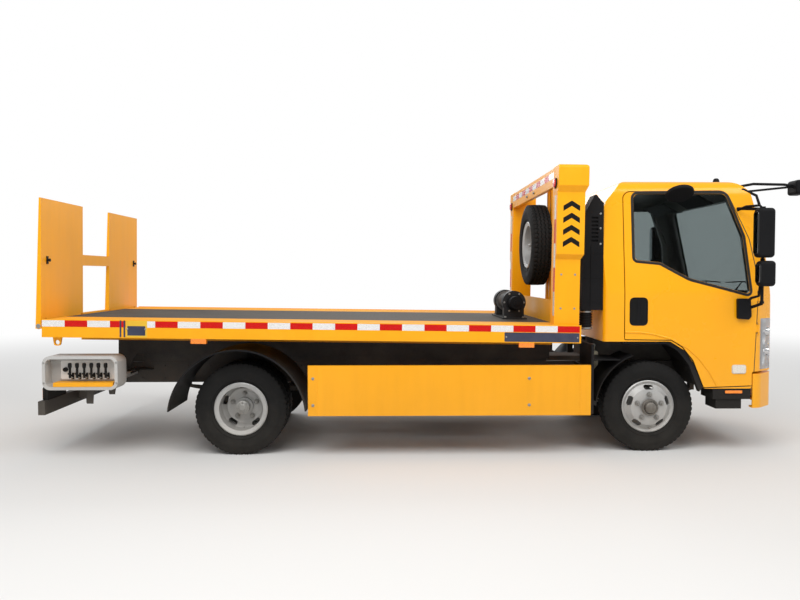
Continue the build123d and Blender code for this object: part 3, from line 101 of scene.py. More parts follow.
RAIL_Y = 375.0
REAR_BAR_X = -3118.0
REAR_BAR_TOP = 460.3
PILLAR_REAR = 985.0

# Outlines, paths and turned profiles of the small parts

HUB_CAP = ((0.01, 18), (50, 18), (51, 24), (46, 34), (44, 46), (30, 54), (0.01, 56))
CAP_RING = ((52, 16), (68, 16), (70, 20), (66, 26), (54, 27))
SHAFT_FLANGE = ((0.01, 0), (50, 0), (56, 3), (56, 12), (50, 15), (26, 16), (22, 19), (0.01, 19))
LAMP_BOWL = ((1, 62), (0.95, 62), (0.8, 26), (0.5, 8), (0.2, 2), (0.2, 30), (0.0002, 32), (0.0002, -2),
             (0.55, 2), (0.9, 26))
LEVER = ((0.01, 0), (9.5, 0), (9.5, 74), (11, 80), (14, 86), (15, 108), (12, 118), (0.01, 120))
MOTOR_BODY = ((0.01, 0), (70, 0), (72, 4), (72, 26), (60, 30), (60, 118), (56, 124), (24, 126), (24, 134),
              (0.01, 136))
SIDE_WINDOW = ((1682, 1590), (1682, 2130), (2440, 2135), (2575, 1780), (2622, 1310), (2130, 1440),
               (1890, 1570))
WINDOW_RADII = (30, 40, 60, 80, 25, 200, 60)
ARCH_EDGE = ((1585, 940), (1980, 935), (2070, 880), (2160, 770), (2250, 545))
ARCH_CREASE = ((1600, 1002), (1722, 1001), (1837, 985), (1986, 944), (2118, 869), (2217, 779), (2299, 671),
               (2366, 556))
SEAL_SECTION = ((13, -1), (13, 2), (9, 4), (-4, 4.5), (-8, 2), (-8.4, -15), (-11, -15), (-11, -1))


# Sizes and colours that can be changed

class TowColours(PropertyGroup):
    """Colours of the painted and moulded finishes."""
    body: FloatVectorProperty(name="Body yellow", description="Paint of the cab, bed, ramp and guards",
                              subtype="COLOR", size=3, min=0, max=1, default=(0.92, 0.39, 0.001))
    chassis: FloatVectorProperty(name="Chassis black", description="Paint of the frame, axles and tilt frame",
                                 subtype="COLOR", size=3, min=0, max=1, default=(0.012, 0.012, 0.013))
    trim: FloatVectorProperty(name="Moulded black", description="Grained plastic of mirrors and intake",
                              subtype="COLOR", size=3, min=0, max=1, default=(0.010, 0.010, 0.011))
    wheel: FloatVectorProperty(name="Wheel silver", description="Paint of the pressed wheels",
                               subtype="COLOR", size=3, min=0, max=1, default=(0.50, 0.50, 0.49))
    # The deck grey is the plate's own dark grey, darkened further as a painted shadow of the load, which is
    # not drawn
    deck: FloatVectorProperty(name="Deck grey", description="Worn chequer plate in the middle of the bed",
                              subtype="COLOR", size=3, min=0, max=1, default=(0.060, 0.056, 0.052))
    dust: FloatVectorProperty(name="Road dust", description="Dust that settles low on the truck",
                              subtype="COLOR", size=3, min=0, max=1, default=(0.30, 0.25, 0.19))
    seat: FloatVectorProperty(name="Seat cloth", description="Woven cloth of the seats",
                              subtype="COLOR", size=3, min=0, max=1, default=(0.055, 0.056, 0.062))


class TowWheelSizes(PropertyGroup):
    """Sizes of the tyres' tread and the wheels' fastenings."""
    groove_depth: FloatProperty(name="Groove depth", description="Depth of the tread grooves",
                                default=9 * MM, min=4 * MM, max=14 * MM, unit="LENGTH")
    pitches: IntProperty(name="Tread pitches", description="Tread blocks round each tyre", default=54, min=30,
                         max=80)
    nut_size: FloatProperty(name="Nut size", description="Width of a wheel nut across its flats",
                            default=36 * MM, min=20 * MM, max=45 * MM, unit="LENGTH")


class TowTrimSizes(PropertyGroup):
    """Sizes of the tapes, screws and seat padding."""
    tape_height: FloatProperty(name="Tape height", description="Height of the reflective tape",
                               default=50 * MM, min=30 * MM, max=70 * MM, unit="LENGTH")
    tape_length: FloatProperty(name="Tape length", description="Length of one white or red field",
                               default=176 * MM, min=100 * MM, max=300 * MM, unit="LENGTH")
    screw_size: FloatProperty(name="Screw size", description="Width of a panel screw's head",
                              default=20 * MM, min=8 * MM, max=30 * MM, unit="LENGTH")
    seat_swell: FloatProperty(name="Seat swell", description="Most that a seat's padding stands out",
                              default=18 * MM, min=4 * MM, max=26 * MM, unit="LENGTH")


class TowStudio(PropertyGroup):
    """Floor, lamps and camera."""
    lens: FloatProperty(name="Lens", description="Focal length of the camera", default=32.3, min=20, max=90)
    key_power: FloatProperty(name="Key power", description="Power of the large overhead lamp",
                             default=520, min=0, max=4000, unit="POWER")
    floor: FloatVectorProperty(name="Floor", description="Colour of the studio floor", subtype="COLOR",
                               size=3, min=0, max=1, default=(0.72, 0.71, 0.69))


# Shader trees

EFFECTS = {}
FINISHES = {}


class Net:
    """A shader tree that is drawn by short calls."""

    def __init__(self, tree):
        self.tree = tree

    def feed(self, socket, value):
        """A value or another node's output, led into a socket."""
        if isinstance(value, bpy.types.NodeSocket):
            self.tree.links.new(value, socket)
        elif socket.type == "RGBA" and len(value) == 3:
            socket.default_value = (*value, 1)
        else:
            socket.default_value = value

    def put(self, kind, inputs=None, **settings):
        """A node with its settings and inputs."""
        node = self.tree.nodes.new("ShaderNode" + kind)
        for name, value in settings.items():
            setattr(node, name, value)
        for name, value in (inputs or {}).items():
            self.feed(node.inputs[name], value)
        return node

    def math(self, operation, a, b=0.0, c=0.0, clamp=False):
        return self.put("Math", {0: a, 1: b, 2: c}, operation=operation, use_clamp=clamp).outputs[0]

    def times(self, a, b, clamp=False):
        return self.math("MULTIPLY", a, b, clamp=clamp)

    def span(self, value, low, high, to_low=0.0, to_high=1.0):
        """A value carried from one range to another, held at its ends."""
        return self.put("MapRange", {"Value": value, "From Min": low, "From Max": high, "To Min": to_low,
                                     "To Max": to_high}).outputs["Result"]

    def mix(self, share, first, second):
        """Two colours mixed by a share."""
        return self.put("Mix", {0: share, 6: first, 7: second}, data_type="RGBA").outputs[2]

    def place(self):
        return self.put("TexCoord").outputs["Object"]

    def split(self, vector):
        return self.put("SeparateXYZ", {"Vector": vector}).outputs

    def cloud(self, scale, detail, **more):
        """Soft noise over the object."""
        return self.put("TexNoise", {"Vector": self.place(), "Scale": scale, "Detail": detail,
                                     **more}).outputs["Fac"]


class Effect(Net):
    """A node group with float inputs and outputs, shared by the finishes."""

    def __init__(self, name, outputs, **inputs):
        group = bpy.data.node_groups.new(name, "ShaderNodeTree")
        for label, value in inputs.items():
            socket = group.interface.new_socket(label, in_out="INPUT", socket_type="NodeSocketFloat")
            socket.default_value = value
        for label in outputs:
            group.interface.new_socket(label, in_out="OUTPUT", socket_type="NodeSocketFloat")
        super().__init__(group)
        self.given = group.nodes.new("NodeGroupInput").outputs
        self.result = group.nodes.new("NodeGroupOutput").inputs
        EFFECTS[name] = group

    def give(self, **results):
        for name, value in results.items():
            self.feed(self.result[name], value)


def weathering_effect():
    """Slow mottling of a finish, fine grain, streaks, and dust that thins out with height."""
    net = Effect("weathering", ["Mottle", "Grain", "Dust", "Streak"], Scale=1.5, Grain=90.0, Low=0.2,
                 High=1.0, Amount=0.5)
    mottle = net.cloud(net.given["Scale"], 5.0, Roughness=0.6)
    grain = net.cloud(net.given["Grain"], 3.0)
    drawn = net.put("Mapping", {"Vector": net.place(), "Scale": (9.0, 9.0, 0.9)}).outputs["Vector"]
    streak = net.put("TexNoise", {"Vector": drawn, "Scale": 1.6, "Detail": 4.0}).outputs["Fac"]
    low_share = net.span(net.split(net.place())["Z"], net.given["Low"], net.given["High"], 1.0, 0.0)
    patch = net.math("ADD", net.times(mottle, 0.9), net.times(grain, 0.25))
    dust = net.math("SUBTRACT", net.math("ADD", low_share, patch), 0.62, clamp=True)
    net.give(Mottle=mottle, Grain=grain, Dust=net.times(dust, net.given["Amount"], clamp=True),
             Streak=net.span(streak, 0.42, 0.72))


def chequer_effect():
    """Raised lozenges in two directions, as rolled into floor plate."""
    net = Effect("chequer_plate", ["Height"], Pitch=0.032)
    place = net.split(net.place())
    ends = [net.math("DIVIDE", place[axis], net.given["Pitch"]) for axis in ("X", "Y")]
    cells = [net.math("FLOOR", end) for end in ends]
    parity = net.math("FLOORED_MODULO", net.math("ADD", *cells), 2.0)
    inside = [net.math("SUBTRACT", net.math("FRACT", end), 0.5) for end in ends]
    along, across = net.math("ADD", *inside), net.math("SUBTRACT", *inside)
    turn = net.put("Mix", {0: parity, 2: along, 3: across}).outputs[0]
    other = net.put("Mix", {0: parity, 2: across, 3: along}).outputs[0]
    length, width = [net.math("POWER", net.math("DIVIDE", value, half), 2.0)
                     for value, half in ((turn, 0.62), (other, 0.2))]
    net.give(Height=net.math("SUBTRACT", 1.0, net.math("ADD", length, width), clamp=True))


def weave_effect():
    """Over and under threads of a woven cloth."""
    net = Effect("woven_cloth", ["Height", "Shade"], Threads=900.0)
    place = net.split(net.place())
    warp, weft = [net.math("SINE", net.times(way, net.given["Threads"]))
                  for way in (net.math("ADD", place["X"], place["Z"]), place["Y"])]
    net.give(Height=net.math("MULTIPLY_ADD", net.times(warp, weft), 0.5, 0.5), Shade=net.cloud(14.0, 3.0))


def cell_effect():
    """Six-sided cells of reflective tape and lenses."""
    net = Effect("reflector_cells", ["Height", "Shade"], Scale=260.0)
    edge = net.put("TexVoronoi", {"Vector": net.place(), "Scale": net.given["Scale"]},
                   feature="DISTANCE_TO_EDGE").outputs["Distance"]
    net.give(Height=net.span(edge, 0.0, 0.12), Shade=net.cloud(22.0, 3.0))


def facing_effect():
    """Tells the faces that look toward a line or a point, within a reach, from all others."""
    net = Effect("facing", ["Mask"], X=2.1, Z=1.6, Side=1.0, Reach=9.0, Least=0.05)
    coords = net.put("TexCoord").outputs
    place = net.split(coords["Object"])
    run = net.put("CombineXYZ", {"X": net.math("SUBTRACT", net.given["X"], place["X"]),
                                 "Y": net.math("SUBTRACT", 0.0, net.times(place["Y"], net.given["Side"])),
                                 "Z": net.math("SUBTRACT", net.given["Z"], place["Z"])}).outputs[0]
    length = net.put("VectorMath", {0: run}, operation="LENGTH").outputs["Value"]
    way = net.put("VectorMath", {0: run}, operation="NORMALIZE").outputs["Vector"]
    turned = net.put("VectorMath", {0: way, 1: coords["Normal"]}, operation="DOT_PRODUCT").outputs["Value"]
    net.give(Mask=net.times(net.math("GREATER_THAN", turned, net.given["Least"]),
                            net.math("LESS_THAN", length, net.given["Reach"])))


class Finish(Net):
    """A material of one Principled shader, kept under its name in FINISHES."""

    def __init__(self, name):
        material = bpy.data.materials.new(name)
        material.use_nodes = True
        super().__init__(material.node_tree)
        self.tree.nodes.clear()
        self.shader = self.tree.nodes.new("ShaderNodeBsdfPrincipled")
        self.feed(self.put("OutputMaterial").inputs[0], self.shader.outputs[0])
        FINISHES[name] = material

    def use(self, name, **values):
        """One of the shared effects, placed with its own values."""
        return self.put("Group", values, node_tree=EFFECTS[name]).outputs

    def wear(self, scale, grain, low, high, amount):
        return self.use("weathering", Scale=scale, Grain=grain, Low=low, High=high, Amount=amount)

    def set(self, **sockets):
        """Values and outputs for the shader's sockets; an underscore stands for a space."""
        for name, value in sockets.items():
            self.feed(self.shader.inputs[name.replace("_", " ")], value)

    def relief(self, height, strength, distance_mm):
        """A bump that feeds the shader's normal."""
        bump = self.put("Bump", {"Height": height, "Strength": strength, "Distance": distance_mm * MM})
        self.set(Normal=bump.outputs["Normal"])


def shades(colour, less, more):
    """A darker and a lighter shade of a colour."""
    return ([part * less for part in colour], [min(1.0, part * more) for part in colour])


def plain_finish(name, colour, rough, dust, dust_colour, metal=0.0, levels=(0.15, 1.1), scale=1.5, grain=90.0,
                 relief_mm=0.05, vary=(0.9, 1.08), streaks=0.0, coat=0.0, shine=0.3, painted_shade_rooms=()):
    """A painted, moulded or cast finish with mottling, dust, fine grain and painted shade on faces turned
    toward given centres.
    """
    net = Finish(name)
    wear = net.wear(scale, grain, *levels, dust)
    base = net.mix(net.span(wear["Mottle"], 0.3, 0.7), *shades(colour, *vary))
    if streaks:
        base = net.mix(net.times(wear["Streak"], streaks), base, shades(colour, 0.55, 1)[0])
    gloss = net.span(wear["Mottle"], 0.3, 0.7, *rough)
    # Faces turned toward each centre are mixed to its dark colour: painted shade inside the cab, and inside
    # the front wheel arch the liner's own black deepened as painted shade
    for shade, values in painted_shade_rooms:
        mask = net.use("facing", **values)["Mask"]
        base = net.mix(mask, base, shade)
        gloss = net.math("MULTIPLY_ADD", mask, 0.3, gloss)
    net.set(Base_Color=net.mix(wear["Dust"], base, dust_colour),
            Roughness=net.math("MULTIPLY_ADD", wear["Dust"], 0.35, gloss, clamp=True), Metallic=metal,
            Specular_IOR_Level=shine)
    if coat:
        net.set(Coat_Weight=coat, Coat_Roughness=0.08)
    net.relief(wear["Grain"], 0.35, relief_mm)


def deck_finish(name, colours):
    """Worn grey chequer plate with a yellow strip along each side, its grey darkened as a painted shadow of
    the load, which is not drawn.
    """
    net = Finish(name)
    wear = net.wear(2.2, 70.0, 1.0, 1.6, 0.55)
    side = net.math("GREATER_THAN", net.math("ABSOLUTE", net.split(net.place())["Y"]), STRIP_Y * MM)
    # The plate's own grey, darkened further as a painted shadow of the load, which is not drawn
    grey = net.mix(net.span(wear["Mottle"], 0.35, 0.65), *shades(colours.deck, 0.42, 0.95))
    yellow = net.mix(net.span(wear["Mottle"], 0.3, 0.75), *shades(colours.body, 0.82, 1.03))
    base = net.mix(net.times(wear["Dust"], 0.3), net.mix(side, grey, yellow), colours.dust)
    plate = net.use("chequer_plate", Pitch=0.034)["Height"]
    rubbed = net.times(net.span(plate, 0.35, 0.9), net.span(wear["Grain"], 0.4, 0.7))
    net.set(Base_Color=net.mix(net.times(rubbed, 0.3), base, (0.22, 0.205, 0.185)),
            Roughness=net.span(wear["Mottle"], 0.3, 0.7, 0.6, 0.8), Specular_IOR_Level=0.1)
    net.relief(plate, 0.9, 1.6)


def glass_finish(name, tint, rough=0.0, clear=1.0):
    """Tinted glass with faint waviness and a dusty film."""
    net = Finish(name)
    wear = net.wear(1.1, 40.0, 0.4, 1.6, 0.12)
    net.set(Base_Color=net.mix(wear["Dust"], tint, (0.45, 0.43, 0.38)),
            Roughness=net.span(wear["Mottle"], 0.3, 0.8, rough, rough + 0.006), Transmission_Weight=clear,
            IOR=1.1, Specular_IOR_Level=1.0)
    net.relief(wear["Mottle"], 0.1, 0.4)


def lens_finish(name, colour, glow=0.0, scale=160.0, coat=0.6, shine=0.5):
    """Moulded lamp lens with its small optics."""
    net = Finish(name)
    cells = net.use("reflector_cells", Scale=scale)
    base = net.mix(net.span(cells["Height"], 0.0, 1.0), *shades(colour, 0.6, 1.15))
    net.set(Base_Color=base, Roughness=net.span(cells["Shade"], 0.3, 0.7, 0.1, 0.2), Coat_Weight=coat,
            Specular_IOR_Level=shine)
    net.relief(cells["Height"], 0.5, 0.6)
    if glow:
        net.set(Emission_Color=base, Emission_Strength=glow)


def cloth_finish(name, colour):
    """Woven seat cloth with a soft sheen."""
    net = Finish(name)
    weave = net.use("woven_cloth", Threads=1500.0)
    low, high = shades(colour, 0.65, 1.5)
    base = net.mix(weave["Height"], low, high)
    net.set(Base_Color=net.mix(net.span(weave["Shade"], 0.35, 0.75, 0.0, 0.35), base, high),
            Roughness=net.span(weave["Shade"], 0.3, 0.7, 0.78, 0.95), Sheen_Weight=0.25)
    net.relief(weave["Height"], 0.5, 0.4)


def rubber_finish(name, colour, dust_colour):
    """Tyre rubber, browner where it meets the road."""
    net = Finish(name)
    wear = net.wear(9.0, 160.0, 0.0, 0.5, 0.05)
    base = net.mix(net.span(wear["Mottle"], 0.3, 0.7), *shades(colour, 0.8, 1.25))
    net.set(Base_Color=net.mix(wear["Dust"], base, dust_colour), Specular_IOR_Level=0.12,
            Roughness=net.span(wear["Mottle"], 0.3, 0.7, 0.62, 0.85))
    net.relief(wear["Grain"], 0.4, 0.3)


# Mesh code

def lean(point):
    """A point of the level bed, carried to where the raked bed holds it."""
    dx, dz = point[0] - PIVOT[0], point[2] - PIVOT[1]
    return Vector((PIVOT[0] + dx * math.cos(RAKE) + dz * math.sin(RAKE), point[1],
                   PIVOT[1] - dx * math.sin(RAKE) + dz * math.cos(RAKE)))


def rounded(points, radii, steps=5):
    """A polygon whose corners are drawn as arcs of the given radii."""
    drawn = []
    for index, point in enumerate(points):
        here = Vector(point)
        before = Vector(points[index - 1]) - here
        after = Vector(points[(index + 1) % len(points)]) - here
        radius = radii[index] if hasattr(radii, "__len__") else radii
        half = before.angle(after) / 2
        if radius <= 0 or half > NEARLY_STRAIGHT:
            drawn.append(here)
            continue
        reach = min(radius / math.tan(half), before.length * 0.49, after.length * 0.49)
        first, last = here + before.normalized() * reach, here + after.normalized() * reach
        for step in range(steps + 1):
            share = step / steps
            drawn.append((1 - share) ** 2 * first + 2 * share * (1 - share) * here + share ** 2 * last)
    return [tuple(point) for point in drawn]


def pad(a, b, radius, steps=5):
    """A rectangle with rounded corners, given by its two spans."""
    return rounded([(a[0], b[0]), (a[1], b[0]), (a[1], b[1]), (a[0], b[1])], radius, steps)


def heading(path, index, loop=True):
    """The way that a path runs past one of its points."""
    if loop:
        return path[(index + 1) % len(path)] - path[index - 1]
    return path[min(index + 1, len(path) - 1)] - path[max(index - 1, 0)]


def joined(count, size, loop=True, closed=True):
    """Faces between rings of points, each ring of the same size."""
    faces = []
    for index in range(count if loop else count - 1):
        here, there = index * size, (index + 1) % count * size
        faces += [(here + i, here + (i + 1) % size, there + (i + 1) % size, there + i)
                  for i in range(size if closed else size - 1)]
    return faces


def spots(centre, radius, count, start=0.0):
    """Points spread evenly on a circle about a line across the truck."""
    turns = [start + 2 * math.pi * index / count for index in range(count)]
    return [Vector(centre) + Vector((radius * math.cos(turn), 0, radius * math.sin(turn))) for turn in turns]


BOX_FACES = ((0, 1, 3, 2), (4, 6, 7, 5), (0, 4, 5, 1), (2, 3, 7, 6), (0, 2, 6, 4), (1, 5, 7, 3))
ORDER = {"x": lambda a, b, c: (c, a, b), "y": lambda a, b, c: (a, c, b), "z": lambda a, b, c: (a, b, c)}


class Form:
    """The mesh of one piece, drawn in millimetres in the truck's frame."""

    def __init__(self):
        self.points, self.faces, self.kinds, self.kind = [], [], [], 0

    def add(self, points, faces):
        start = len(self.points)
        self.points += [Vector(point) for point in points]
        self.faces += [[start + index for index in face] for face in faces]
        self.kinds += [self.kind] * len(faces)
        return self

    def paint(self, kind):
        """What is drawn from here on takes this material."""
        self.kind = kind
        return self

    def box(self, x, y, z):
        corners = [(a, b, c) for a in sorted(x) for b in sorted(y) for c in sorted(z)]
        return self.add(corners, BOX_FACES)

    def prism(self, outline, axis, *limits):
        """An outline in the two other axes' order, drawn out along one axis."""
        count = len(outline)
        ends = [tuple(range(count)), tuple(range(2 * count - 1, count - 1, -1))]
        return self.add([ORDER[axis](a, b, limit) for limit in sorted(limits) for a, b in outline],
                        ends + joined(2, count, False))

    def turned(self, profile, axis, centre, segments=48, closed=False, bend=None):
        """A profile of (radius, along) points turned about an axis through the centre; - turns it round."""
        sign = -1 if axis[0] == "-" else 1
        points = []
        for step in range(segments):
            angle = 2 * math.pi * step / segments
            for index, (radius, along) in enumerate(profile):
                if bend:
                    radius, along = bend(step, index, radius, along)
                a, b, c = radius * math.cos(angle), radius * math.sin(angle), sign * along
                points.append(Vector(centre) + Vector(ORDER[axis[-1]](a, b, c)))
        count = len(profile)
        faces = joined(segments, count, closed=closed)
        if not closed:
            faces.append([step * count for step in range(segments)])
            faces.append([step * count + count - 1 for step in reversed(range(segments))])
        return self.add(points, faces)

    def tube(self, path, radius, segments=12):
        """A round bar along a path of points."""
        path = [Vector(point) for point in path]
        count = len(path)
        points, guide = [], None
        for index, point in enumerate(path):
            way = heading(path, index, False).normalized()
            guide = guide or way.orthogonal()
            guide = (guide - way * guide.dot(way)).normalized()
            side = way.cross(guide)
            size = radius[index] if hasattr(radius, "__len__") else radius
            for step in range(segments):
                angle = 2 * math.pi * step / segments
                points.append(point + (guide * math.cos(angle) + side * math.sin(angle)) * size)
        ends = [tuple(reversed(range(segments))), tuple(range((count - 1) * segments, count * segments))]
        return self.add(points, joined(count, segments, False) + ends)

    def ribbon(self, path, across, width, height, loop=False):
        """A flat bar along a path; across gives each point's outward direction."""
        path = [Vector(point) for point in path]
        count = len(path)
        points = []
        for index, point in enumerate(path):
            way = heading(path, index, loop)
            out = Vector(across[index] if hasattr(across[0], "__len__") else across)
            side = way.cross(out).normalized()
            out = side.cross(way).normalized()
            for a, b in ((-1, 0), (1, 0), (0.8, 1), (-0.8, 1)):
                points.append(point + side * a * width / 2 + out * b * height)
        ends = [] if loop else [(3, 2, 1, 0), tuple(range((count - 1) * 4, count * 4))]
        return self.add(points, joined(count, 4, loop) + ends)

    def sweep(self, path, sides, outs, section):
        """A closed section of (aside, out) points carried round a closed path."""
        rings = zip(path, sides, outs)
        return self.add([point + side * a + out * b for point, side, out in rings for a, b in section],
                        joined(len(path), len(section)))

    def bolt(self, centre, axis, size, height):
        """A six-sided head on its washer; the axis points outward."""
        base = height * 0.2
        self.turned([(0.01, 0), (size * 0.625, 0), (size * 0.625, base), (0.01, base)], axis, centre, 18)
        self.turned([(0.01, base), (size / 2, base), (size / 2, height * 0.85), (size * 0.4, height),
                     (0.01, height)], axis, centre, 6)

    def screw(self, centre, axis, size):
        """A domed panel screw on its washer, with a recess in the head."""
        dome = [(size * radius, size * height) for radius, height in
                ((0.44, 0.22), (0.3, 0.32), (0.12, 0.34), (0.1, 0.2))]
        washer = [(0.01, 0), (size * 0.62, 0), (size * 0.62, 1.2), (size * 0.48, 1.6)]
        self.turned([*washer, *dome, (0.01, size * 0.2)], axis, centre, 20)

    def mirrored(self):
        """A copy of all that is drawn on the other side too."""
        start, faces = len(self.points), list(self.faces)
        self.points += [Vector((point.x, -point.y, point.z)) for point in self.points]
        self.faces += [[start + index for index in reversed(face)] for face in faces]
        self.kinds += list(self.kinds)
        return self

    def piece(self, name, body, finishes, slot, raked=False, bevel=0.0, sharp=35, segments=2, replaces=()):
        """The finished object, in metres, riding on its body."""
        bm = bmesh.new()
        corners = [bm.verts.new((lean(point) if raked else point) * MM) for point in self.points]
        for face, kind in zip(self.faces, self.kinds):
            made = bm.faces.new([corners[index] for index in face])
            made.material_index = kind
            made.smooth = True
        bmesh.ops.recalc_face_normals(bm, faces=bm.faces)
        shown = placed(name, bm)
        shown.data.set_sharp_from_angle(angle=math.radians(sharp))
        for finish in finishes:
            shown.data.materials.append(FINISHES[finish])
        if bevel:
            soft = shown.modifiers.new("softened_edges", "BEVEL")
            soft.width = bevel * MM
            soft.segments = segments
            soft.limit_method = "ANGLE"
            soft.angle_limit = math.radians(30)
            soft.harden_normals = True
        return dress(shown, body, replaces)


def placed(name, bm):
    """The mesh in hand as an object of the scene."""
    mesh = bpy.data.meshes.new(name)
    bm.to_mesh(mesh)
    bm.free()
    shown = bpy.data.objects.new(name, mesh)
    bpy.context.scene.collection.objects.link(shown)
    return shown


def dress(shown, body, replaces=()):
    """A piece put on its body and the nodes that it stands for."""
    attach(shown, body)
    if replaces:
        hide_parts(*replaces)
    return shown


def cad_box(node):
    """A CAD node's low and high corner in millimetres."""
    return [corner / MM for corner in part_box(node)]


def skin(node):
    """A CAD node's surface, for setting small parts on it."""
    mesh = frame["nodes"][node].data
    mesh.calc_loop_triangles()
    points = [vertex.co / MM for vertex in mesh.vertices]
    return BVHTree.FromPolygons(points, [tuple(t.vertices) for t in mesh.loop_triangles])


def landed(surface, point, way):
    """Where a line from a point meets a surface, and the surface's direction there."""
    hit = surface.ray_cast(Vector(point), Vector(way).normalized())
    if hit[0] is None:
        raise RuntimeError(f"nothing lies from {tuple(point)} along {tuple(way)}")
    return hit[0], hit[1]


def widened(outline, reach):
    """A closed outline moved outward by a distance."""
    turn = sum(a[0] * b[1] - b[0] * a[1] for a, b in zip(outline, outline[1:] + outline[:1]))
    path = [Vector(point) for point in outline]
    moved = []
    for index, here in enumerate(path):
        way = heading(path, index).normalized()
        out = Vector((way.y, -way.x)) * (1 if turn > 0 else -1)
        moved.append(tuple(here + out * reach))
    return moved


def dense(outline, longest=60):
    """A closed outline with points added along its long sides."""
    points = []
    for here, there in zip(outline, outline[1:] + outline[:1]):
        a, b = Vector(here), Vector(there)
        count = max(1, int((b - a).length / longest))
        points += [tuple(a.lerp(b, step / count)) for step in range(count)]
    return points


def window_seal(form, surface, outline, place, way):
    """A rubber seal round a window: an outline of two coordinates, dropped onto the surface."""
    path, edge = [[landed(surface, place(*point), way)[0] for point in widened(outline, reach)]
                  for reach in (9, 2)]
    sides = [(spot - inner).normalized() for spot, inner in zip(path, edge)]
    outs = []
    for index, side in enumerate(sides):
        out = heading(path, index).cross(side).normalized()
        outs.append(out if out.dot(Vector(way)) < 0 else -out)
    form.sweep(path, sides, outs, SEAL_SECTION)


# Wheels

def tread_profile(depth):
    """A tyre's section as (radius, along, kind); kind says how the tread pattern moves the point."""
    walls = [(204, 66), (214, 70), (221, 69), (228, 74), (240, 82), (243, 86), (247, 86), (250, 84),
             (275, 89.5), (300, 92.5), (318, 92), (321, 90.5), (338, 88.5)]
    left = [(*point, "") for point in walls]
    left += [(352, 84.5, "lug"), (366, 79.5, "lug"), (372, 76, "lug"), (372.5, 58, "lug")]
    grooves = []
    for centre in (50, 17, -17, -50):
        top = TYRE_RADIUS - (1.6 if abs(centre) > 30 else 0.2)
        grooves += [(top, centre + 5, "zig"), (top - depth, centre + 3, "zig"),
                    (top - depth, centre - 3, "zig"), (top, centre - 5, "zig")]
    return left + grooves + [(radius, -along, kind) for radius, along, kind in reversed(left)]


def tyre_form(form, centre, axis, settings):
    """One tyre with zigzag grooves and shoulder blocks."""
    depth = settings.groove_depth / MM
    table = tread_profile(depth)
    zigzag = (4.0, 4.0, -4.0, -4.0)

    def bend(step, index, radius, along):
        kind = table[index][2]
        phase = step % len(zigzag)
        if kind == "zig":
            along += zigzag[phase]
        elif kind and phase == 0:
            radius -= depth * 0.8
        return radius, along

    form.turned([row[:2] for row in table], axis, centre, settings.pitches * len(zigzag), True, bend)


def valve(form, x, y, z, out):
    """A tyre valve standing out of the disc."""
    form.turned([(0.01, 0), (5, 0), (5, 26), (6, 27), (6, 38), (0.01, 39)], out, (x, y, z - 176), 12)


def nut_ring(form, centre, out, settings):
    """Wheel nuts on their stud circle, each with its stud's end."""
    for spot in spots(centre, 104, 5, math.pi / 2):
        form.bolt(spot, out, settings.nut_size / MM, 24)
        form.turned([(0.01, 0), (9, 0), (9, 33), (7, 36), (0.01, 36)], out, spot, 12)


# Tapes and plates

def tape_run(form, start, end, out, width, field, thickness=0.6):
    """A run of tape in alternating fields from start to end; out is the face's direction."""
    start, end, out = Vector(start), Vector(end), Vector(out)
    way = end - start
    side = out.cross(way).normalized() * width / 2
    count = max(1, round(way.length / field))
    for index in range(count):
        a, b = start + way * (index / count), start + way * ((index + 1) / count)
        base = [a - side, b - side, b + side, a + side]
        form.paint(index % 2)
        form.add([*base, *[point + out.normalized() * thickness for point in base]],
                 [*joined(2, 4, False), (4, 5, 6, 7), (3, 2, 1, 0)])


# Soft seats

def cushion(name, x, y, z, swell, seams, tilt=0.0, replaces=()):
    """One padded cushion: a rounded block, blown up a little as cloth, with sewn channels."""
    bm = bmesh.new()
    bmesh.ops.create_cube(bm, size=1.0)
    for axis, (low, high) in enumerate((x, y, z)):
        edges = [e for e in bm.edges
                 if abs(abs((e.verts[0].co - e.verts[1].co).normalized()[axis]) - 1) < 1e-4]
        cells = max(3, int((high - low) / 40))
        bmesh.ops.subdivide_edges(bm, edges=edges, cuts=cells - 1, use_grid_fill=True)
    middle = Vector([(low + high) / 2 for low, high in (x, y, z)])
    size = Vector([high - low for low, high in (x, y, z)]) - Vector((1, 1, 1)) * swell * 1.6
    for vertex in bm.verts:
        unit = vertex.co * 2
        a, b, c = [part ** 4 for part in unit]
        round_off = 1 - 0.035 * (a * b + b * c + a * c)
        vertex.co = Vector([unit[i] * size[i] / 2 * round_off for i in range(3)])
    shown = placed(name, bm)
    shown.data.transform(Matrix.Scale(MM, 4))
    blow_up(shown, swell)
    thick = min(range(3), key=lambda i: size[i])
    for vertex in shown.data.vertices:
        place = vertex.co / MM
        face = max(0.0, 1 - abs(abs(place[thick]) / (size[thick] / 2) - 1) * 3)
        groove = sum(math.exp(-((place.y - seam * size.y / 2) / 9) ** 2) for seam in seams)
        place[thick] -= math.copysign(7 * groove * face, place[thick])
        vertex.co = place * MM
    shown.data.transform(Matrix.Rotation(tilt, 4, "Y"))
    shown.data.transform(Matrix.Translation(middle * MM))
    smooth = shown.modifiers.new("smooth_cloth", "SUBSURF")
    smooth.levels = smooth.render_levels = 1
    for polygon in shown.data.polygons:
        polygon.use_smooth = True
    shown.data.materials.append(FINISHES["seat_cloth"])
    dress(shown, "cab", replaces)
    return shown


